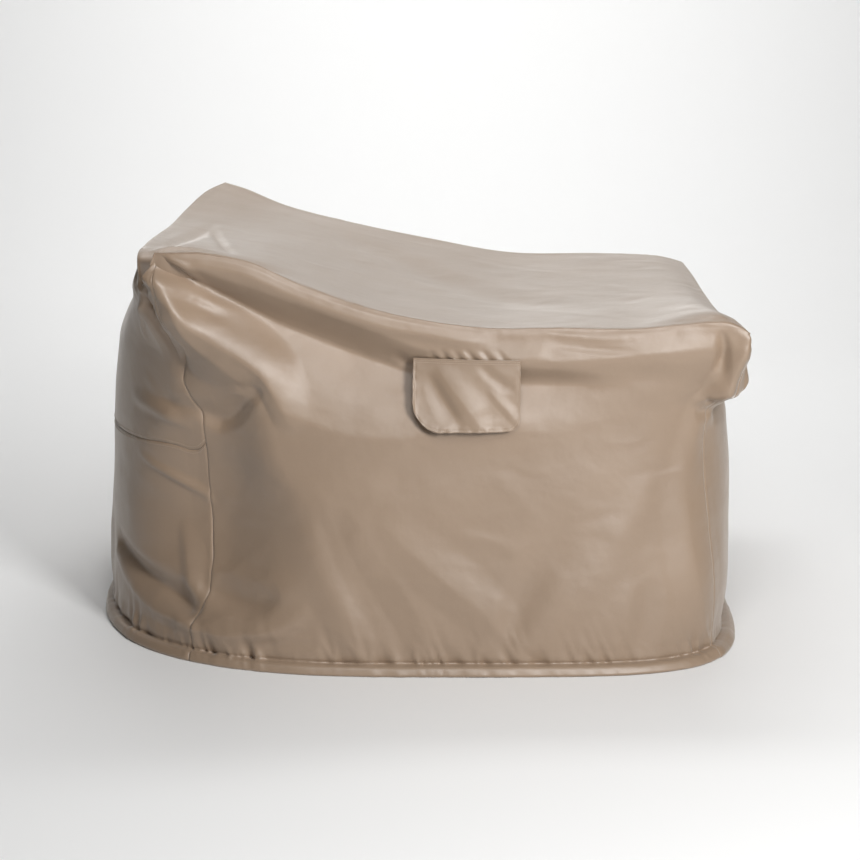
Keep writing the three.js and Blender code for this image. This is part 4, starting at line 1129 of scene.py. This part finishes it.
def cloth_material(name, look):
    """Coated plain-weave polyester: a fine weave, soft sheen and slightly uneven dye."""
    material, tree, shader = coated(name, {
        "Roughness": look.roughness, "Sheen Weight": look.sheen, "Sheen Roughness": 0.35,
        "Sheen Tint": (1, 0.97, 0.93, 1), "Specular IOR Level": look.gloss,
    })
    place = add_node(tree, "ShaderNodeTexCoord")

    # Dye: broad clouds and a fine mottle between two close tones
    clouds = add_node(tree, "ShaderNodeTexNoise", {"Scale": 7, "Detail": 3})
    mottle = add_node(tree, "ShaderNodeTexNoise", {"Scale": 420, "Detail": 2})
    both = add_node(tree, "ShaderNodeMath", {1: 0.35}, operation="MULTIPLY_ADD")
    tones = two_tones(tree, look.colour, 0.95, 1.05, (0.35, 0.85))
    join(
        tree,
        (place, "Object", clouds, "Vector"), (place, "Object", mottle, "Vector"),
        (mottle, "Fac", both, 0), (clouds, "Fac", both, 2), (both, "Value", tones, "Fac"),
        (tones, "Color", shader, "Base Color"),
    )

    # Weave: warp over weft on the cloth's own flat measure
    flat = add_node(tree, "ShaderNodeUVMap", uv_map="cloth_flat")
    split = add_node(tree, "ShaderNodeSeparateXYZ")
    crossing = add_node(tree, "ShaderNodeMath", operation="MULTIPLY")
    weave = add_node(tree, "ShaderNodeBump", {"Strength": 0.35, "Distance": look.weave * MM * 0.12})
    for entry, axis in enumerate("XY"):
        turns = add_node(tree, "ShaderNodeMath", {1: TURN / (2 * look.weave * MM)}, operation="MULTIPLY")
        wave = add_node(tree, "ShaderNodeMath", operation="SINE")
        join(tree, (split, axis, turns, 0), (turns, "Value", wave, 0), (wave, "Value", crossing, entry))
    join(tree, (flat, "UV", split, "Vector"), (crossing, "Value", weave, "Height"))

    # Fine crumple, and long creases from handling that lean to one side
    crumple = add_node(tree, "ShaderNodeTexNoise", {"Scale": 55, "Detail": 3, "Roughness": 0.45})
    soft = add_node(tree, "ShaderNodeBump", {"Strength": look.crumple, "Distance": 0.002})
    stretch = add_node(tree, "ShaderNodeMapping", {
        "Rotation": (0, math.radians(24), 0), "Scale": (1, 1, 1.7),
    })
    creases = add_node(tree, "ShaderNodeTexNoise", {
        "Scale": 11, "Detail": 2.5, "Roughness": 0.42, "Distortion": 0.5,
    }, noise_type="RIDGED_MULTIFRACTAL")
    handled = add_node(tree, "ShaderNodeBump", {"Strength": look.creases, "Distance": 0.005})
    join(
        tree,
        (place, "Object", crumple, "Vector"), (crumple, "Fac", soft, "Height"),
        (weave, "Normal", soft, "Normal"), (place, "Object", stretch, "Vector"),
        (stretch, "Vector", creases, "Vector"), (creases, "Fac", handled, "Height"),
        (soft, "Normal", handled, "Normal"), (handled, "Normal", shader, "Normal"),
    )
    return material


def thread_material(name, look):
    """Twisted polyester thread, a shade lighter than the cloth."""
    material, tree, shader = coated(name, {"Roughness": 0.5, "Sheen Weight": 0.3})
    place = add_node(tree, "ShaderNodeTexCoord")
    noise = add_node(tree, "ShaderNodeTexNoise", {"Scale": 900})
    tones = two_tones(tree, look.thread_colour, 0.85, 1)
    join(
        tree,
        (place, "Object", noise, "Vector"), (noise, "Fac", tones, "Fac"),
        (tones, "Color", shader, "Base Color"),
    )
    return material


def finish_of(look):
    """The cloth and thread materials, made once."""
    makers = {"cover cloth": cloth_material, "sewing thread": thread_material}
    return [bpy.data.materials.get(name) or maker(name, look) for name, maker in makers.items()]


def number(name, description, default, **kind):
    """A setting that is a number."""
    return bpy.props.FloatProperty(name=name, description=description, default=default, **kind)


def millimetres(name, description, default):
    """A setting that is a size in millimetres."""
    return number(name, description + ", in millimetres", default)


def whole_number(name, description, default):
    """A setting that is a whole number."""
    return bpy.props.IntProperty(name=name, description=description, default=default)


def colour(name, description, default):
    """A setting that is a colour."""
    return bpy.props.FloatVectorProperty(
        name=name, description=description, subtype="COLOR", default=default)


class COVER_PG_cloth(bpy.types.PropertyGroup):
    """Sizes of the cloth, its seams and its hem, in millimetres."""
    thick: millimetres("Cloth", "Thickness of the cloth", 1.4)
    seam_gap: millimetres("Seam gap", "Room between sewn pieces", 0.3)
    seam_deep: millimetres("Seam depth", "How deep a seam draws the cloth in", 1.2)
    rim_high: millimetres("Rim", "How far the turned-in seam stiffens the edge outwards", 0.9)
    pucker_high: millimetres("Pucker", "Height of the puckers along the seams", 0.7)
    pucker_reach: millimetres("Pucker reach", "How far puckers run from a seam", 12)
    uneven: millimetres("Unevenness", "Height of the cloth's soft waves", 1.3)
    hem_high: millimetres("Hem", "Height of the rolled hem", 17)
    hem_stands: millimetres("Hem roll", "How far the hem stands out", 3.2)
    hem_groove: millimetres("Hem groove", "Depth of the stitched groove over the hem", 2.0)
    hem_tuck: millimetres("Hem tuck", "How far the cloth draws in above the hem", 11)
    tuck_reach: millimetres("Tuck reach", "How far above the hem the cloth is drawn in", 17)
    gather_high: millimetres("Gathers", "Height of the gathers over the hem", 6)
    gather_reach: millimetres("Gather reach", "How far gathers run up from the hem", 20)


class COVER_PG_flap(bpy.types.PropertyGroup):
    """Sizes of the vent flap, in millimetres from the floor and from the middle of the cover."""
    left: millimetres("Left", "Left end", -8)
    right: millimetres("Right", "Right end", 156)
    top: millimetres("Top", "Height of the sewn edge", 491)
    bottom: millimetres("Bottom", "Height of the free edge", 382)
    left_radius: millimetres("Left radius", "Radius of the lower left corner", 44)
    right_radius: millimetres("Right radius", "Radius of the lower right corner", 21)
    seat: millimetres("Seat", "Room under the sewn edge", 0.7)
    hang: millimetres("Hang", "Room under the hanging part", 2.2)
    left_lift: millimetres("Left lift", "How far the lower left corner lifts", 16)
    right_lift: millimetres("Right lift", "How far the lower right corner lifts", 5)
    thick: millimetres("Thickness", "Both layers together", 1.8)
    stitch_inset: millimetres("Stitch inset", "Distance of the stitches from the edge", 3.2)
    stiff: millimetres("Stiffness", "How far the flap bridges the hollows of the wall", 1.5)
    cells_across: whole_number("Cells across", "Cells along the width", 110)
    cells_down: whole_number("Cells down", "Cells along the height", 64)


class COVER_PG_sewing(bpy.types.PropertyGroup):
    """Sizes of the stitches, in millimetres."""
    pitch: millimetres("Pitch", "Distance between stitches", 3.2)
    length: millimetres("Stitch", "Length of a stitch", 2.5)
    thread: millimetres("Thread", "Thickness of the thread", 1.0)
    proud: millimetres("Proud", "How far the thread stands off the cloth", 0.15)
    seed: whole_number("Seed", "Seed of the stitches' small turns", 5)


class COVER_PG_look(bpy.types.PropertyGroup):
    """Colours and gloss of the cloth and its thread."""
    colour: colour("Cloth colour", "Colour of the cloth", (0.283, 0.201, 0.138))
    thread_colour: colour("Thread colour", "Colour of the thread", (0.45, 0.34, 0.255))
    roughness: number("Roughness", "Roughness of the coated cloth", 0.46)
    sheen: number("Sheen", "Strength of the sheen", 0.5)
    gloss: number("Gloss", "Strength of the gloss", 0.85)
    weave: millimetres("Weave", "Pitch of the weave", 0.7)
    creases: number("Creases", "Strength of the handling creases", 0.55)
    crumple: number("Crumple", "Strength of the fine crumple", 0.28)


class COVER_PG_stage(bpy.types.PropertyGroup):
    """Camera, floor and studio light."""
    camera_place: bpy.props.FloatVectorProperty(
        name="Camera", description="Place of the camera over the floor", subtype="TRANSLATION", unit="LENGTH",
        default=(0.018, -3.444, 1.084))
    camera_pitch: number(
        "Pitch", "How far the camera looks down", math.radians(13.2), subtype="ANGLE", unit="ROTATION")
    focal_length: number("Focal length", "Focal length in millimetres on a 36 mm sensor", 83.72)
    key_power: number("Key light", "Power of the key light", 78)
    front_power: number("Front light", "Power of the high front light", 27)
    top_power: number("Top light", "Power of the light above", 11)
    wall_power: number("Backdrop light", "Power of the backdrop light", 97)
    fill: number("Fill", "Strength of the even fill light", 0.0)
    floor_colour: colour("Floor colour", "Colour of floor and backdrop", (0.84, 0.84, 0.835))


class COVER_OT_top_panel(bpy.types.Operator):
    """Build the top panel"""
    bl_idname = "cover.top_panel"
    bl_label = "Top Panel"

    def execute(self, context):
        cloth = context.scene.cover_cloth
        material, _ = finish_of(context.scene.cover_look)
        u, v = shares_across(TOP_CELLS[0]), shares_across(TOP_CELLS[1])[::-1]
        outer = top_point(u[:, None], v[None, :], cloth)
        piece = closed_sheet("top_cloth", outer, outer[..., :2], cloth.thick, material, cloth.seam_gap)
        dress(piece, "top_panel", (0.96, 0.9), face_area(outer))
        return {"FINISHED"}


class COVER_OT_wall_panels(bpy.types.Operator):
    """Build the walls: near side, front, far side and the two back panels, hem included"""
    bl_idname = "cover.wall_panels"
    bl_label = "Wall Panels"

    def execute(self, context):
        cloth = context.scene.cover_cloth
        material, _ = finish_of(context.scene.cover_look)
        for name, node, side, cells, low, high, flat in (
            ("near_side_cloth", "near_side_panel", 0, NEAR_CELLS, 0, 1, (1.05, 0.72)),
            ("front_cloth", "front_panel", 1, FRONT_CELLS, 0, 1, (0.94, 0.6)),
            ("far_side_cloth", "far_side_panel", 2, FAR_CELLS, 0, 1, (1.05, 0.72)),
            ("back_upper_cloth", "back_upper_panel", 3, BACK_CELLS, 0, BACK_SEAM_DOWN, (0.96, 0.36)),
            ("back_lower_cloth", "back_lower_panel", 3, BACK_CELLS, BACK_SEAM_DOWN, 1, (0.96, 0.4)),
        ):
            u = np.minimum(side + shares_across(cells), LAST_CORNER)
            down = rows_down(low, high)
            outer = wall_point(u[:, None], down[None, :], cloth)
            if side == SIDES - 1:
                outer[-1] = wall_point(0 * down, down, cloth)
            way = np.stack(matched(round_at(u, MID_DOWN)[:, None], outer[..., 2]), -1)
            piece = closed_sheet(name, outer, way, cloth.thick, material, cloth.seam_gap)
            dress(piece, node, flat, face_area(outer))
        return {"FINISHED"}


class COVER_OT_vent_flap(bpy.types.Operator):
    """Build the vent flap on the near side"""
    bl_idname = "cover.vent_flap"
    bl_label = "Vent Flap"

    def execute(self, context):
        cloth, flap = context.scene.cover_cloth, context.scene.cover_flap
        material, _ = finish_of(context.scene.cover_look)
        outer = flap_faces(flap, cloth)
        piece = closed_sheet("vent_flap_cloth", outer, outer[..., [0, 2]], flap.thick, material, 0)
        width, height = (flap.right - flap.left) * MM, (flap.top - flap.bottom) * MM
        area = FLAP_AREA_SHARE * width * height
        dress(piece, "vent_flap", (width, height), area)
        return {"FINISHED"}


class COVER_OT_stitches(bpy.types.Operator):
    """Lay the stitches over the hem, beside the back seam and round the vent flap"""
    bl_idname = "cover.stitches"
    bl_label = "Stitches"

    def execute(self, context):
        scene = context.scene
        cloth, flap, sewing = scene.cover_cloth, scene.cover_flap, scene.cover_sewing
        _, thread = finish_of(scene.cover_look)
        tree = stitch_tree()
        for name, lines in (
            ("hem_stitches", [hem_line(cloth)]),
            ("back_seam_stitches", back_seam_lines(cloth)),
            ("flap_stitches", flap_lines(flap, cloth)),
        ):
            piece = stitched(name, lines, tree, thread, sewing)
            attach(piece, BODY_NAME)
        return {"FINISHED"}


def area_light(name, place, target, size, power):
    """A square lamp over the floor that looks at a point; both places are in metres from the floor."""
    light = bpy.data.lights.new(name, "AREA")
    light.size = size
    light.energy = power
    lamp = shown_object(name, light)
    lamp.location = Vector(place) + GROUND
    lamp.rotation_euler = (Vector(target) - Vector(place)).to_track_quat("-Z", "Y").to_euler()


class COVER_OT_stage(bpy.types.Operator):
    """Set up the pale floor with its curved backdrop, the studio light and the camera"""
    bl_idname = "cover.stage"
    bl_label = "Stage"

    def execute(self, context):
        stage = context.scene.cover_stage
        profile = [(FLOOR_FRONT, 0)]
        for angle in np.radians((0, *np.linspace(6, 84, 14), 90)):
            out, up = math.sin(angle), 1 - math.cos(angle)
            profile.append((FLOOR_BACK + BACKDROP_BEND * out, BACKDROP_BEND * up))
        profile.append((FLOOR_BACK + BACKDROP_BEND, BACKDROP_TOP))
        points = [Vector((x, y, z)) + GROUND for y, z in profile for x in (-FLOOR_SIDE, FLOOR_SIDE)]
        faces = [(2 * k, 2 * k + 1, 2 * k + 3, 2 * k + 2) for k in range(len(profile) - 1)]
        mesh = bpy.data.meshes.new("floor")
        mesh.from_pydata(points, [], faces)
        mesh.update()
        mesh.polygons.foreach_set("use_smooth", np.ones(len(faces), bool))
        paper, _, _ = coated("pale paper", {"Base Color": (*stage.floor_colour, 1), "Roughness": 0.85})
        mesh.materials.append(paper)
        floor = shown_object("floor", mesh)

        area_light("key light", (1.4, -2.8, 1.65), (0, 0, 0.3), 0.7, stage.key_power)
        area_light("front light", (0, -2.4, 2.5), (0, 0, 0.4), 1.1, stage.front_power)
        area_light("light above", (0.2, 0.9, 3.2), (0, 0.1, 0.4), 2.6, stage.top_power)
        area_light("backdrop light", (0, 1.6, 3.4), (0, 3.8, 0.6), 2.0, stage.wall_power)
        world = bpy.data.worlds.new("fill")
        world.use_nodes = True
        world.node_tree.nodes["Background"].inputs["Color"].default_value = (1, 1, 1, 1)
        world.node_tree.nodes["Background"].inputs["Strength"].default_value = stage.fill
        context.scene.world = world

        data = bpy.data.cameras.new("camera")
        data.sensor_width = 36
        data.lens = stage.focal_length
        camera = shown_object("camera", data)
        camera.location = Vector(stage.camera_place) + GROUND
        camera.rotation_euler = (math.pi / 2 - stage.camera_pitch, 0, 0)
        context.scene.camera = camera
        context.scene.view_settings.view_transform = "Standard"
        return {"FINISHED"}


class COVER_PT_panel(bpy.types.Panel):
    """Lists the cover's steps and sizes"""
    bl_idname = "COVER_PT_panel"
    bl_label = "Armchair Cover"
    bl_space_type = "VIEW_3D"
    bl_region_type = "UI"
    bl_category = "Cover"

    def draw(self, context):
        for step in STEPS:
            self.layout.operator(step.bl_idname)
        for group in SETTINGS:
            settings = getattr(context.scene, group)
            box = self.layout.box()
            for name in settings.__annotations__:
                box.prop(settings, name)


STEPS = (COVER_OT_top_panel, COVER_OT_wall_panels, COVER_OT_vent_flap, COVER_OT_stitches, COVER_OT_stage)
SETTINGS = {
    "cover_cloth": COVER_PG_cloth,
    "cover_flap": COVER_PG_flap,
    "cover_sewing": COVER_PG_sewing,
    "cover_look": COVER_PG_look,
    "cover_stage": COVER_PG_stage,
}
CLASSES = (*SETTINGS.values(), *STEPS, COVER_PT_panel)


def register():
    for made in CLASSES:
        bpy.utils.register_class(made)
    for name, group in SETTINGS.items():
        setattr(bpy.types.Scene, name, bpy.props.PointerProperty(type=group))


def unregister():
    for name in SETTINGS:
        delattr(bpy.types.Scene, name)
    for made in reversed(CLASSES):
        bpy.utils.unregister_class(made)


def main():
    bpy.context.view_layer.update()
    register()
    bpy.ops.cover.top_panel()
    bpy.ops.cover.wall_panels()
    bpy.ops.cover.vent_flap()
    bpy.ops.cover.stitches()
    bpy.ops.cover.stage()


if __name__ == "__main__":
    main()
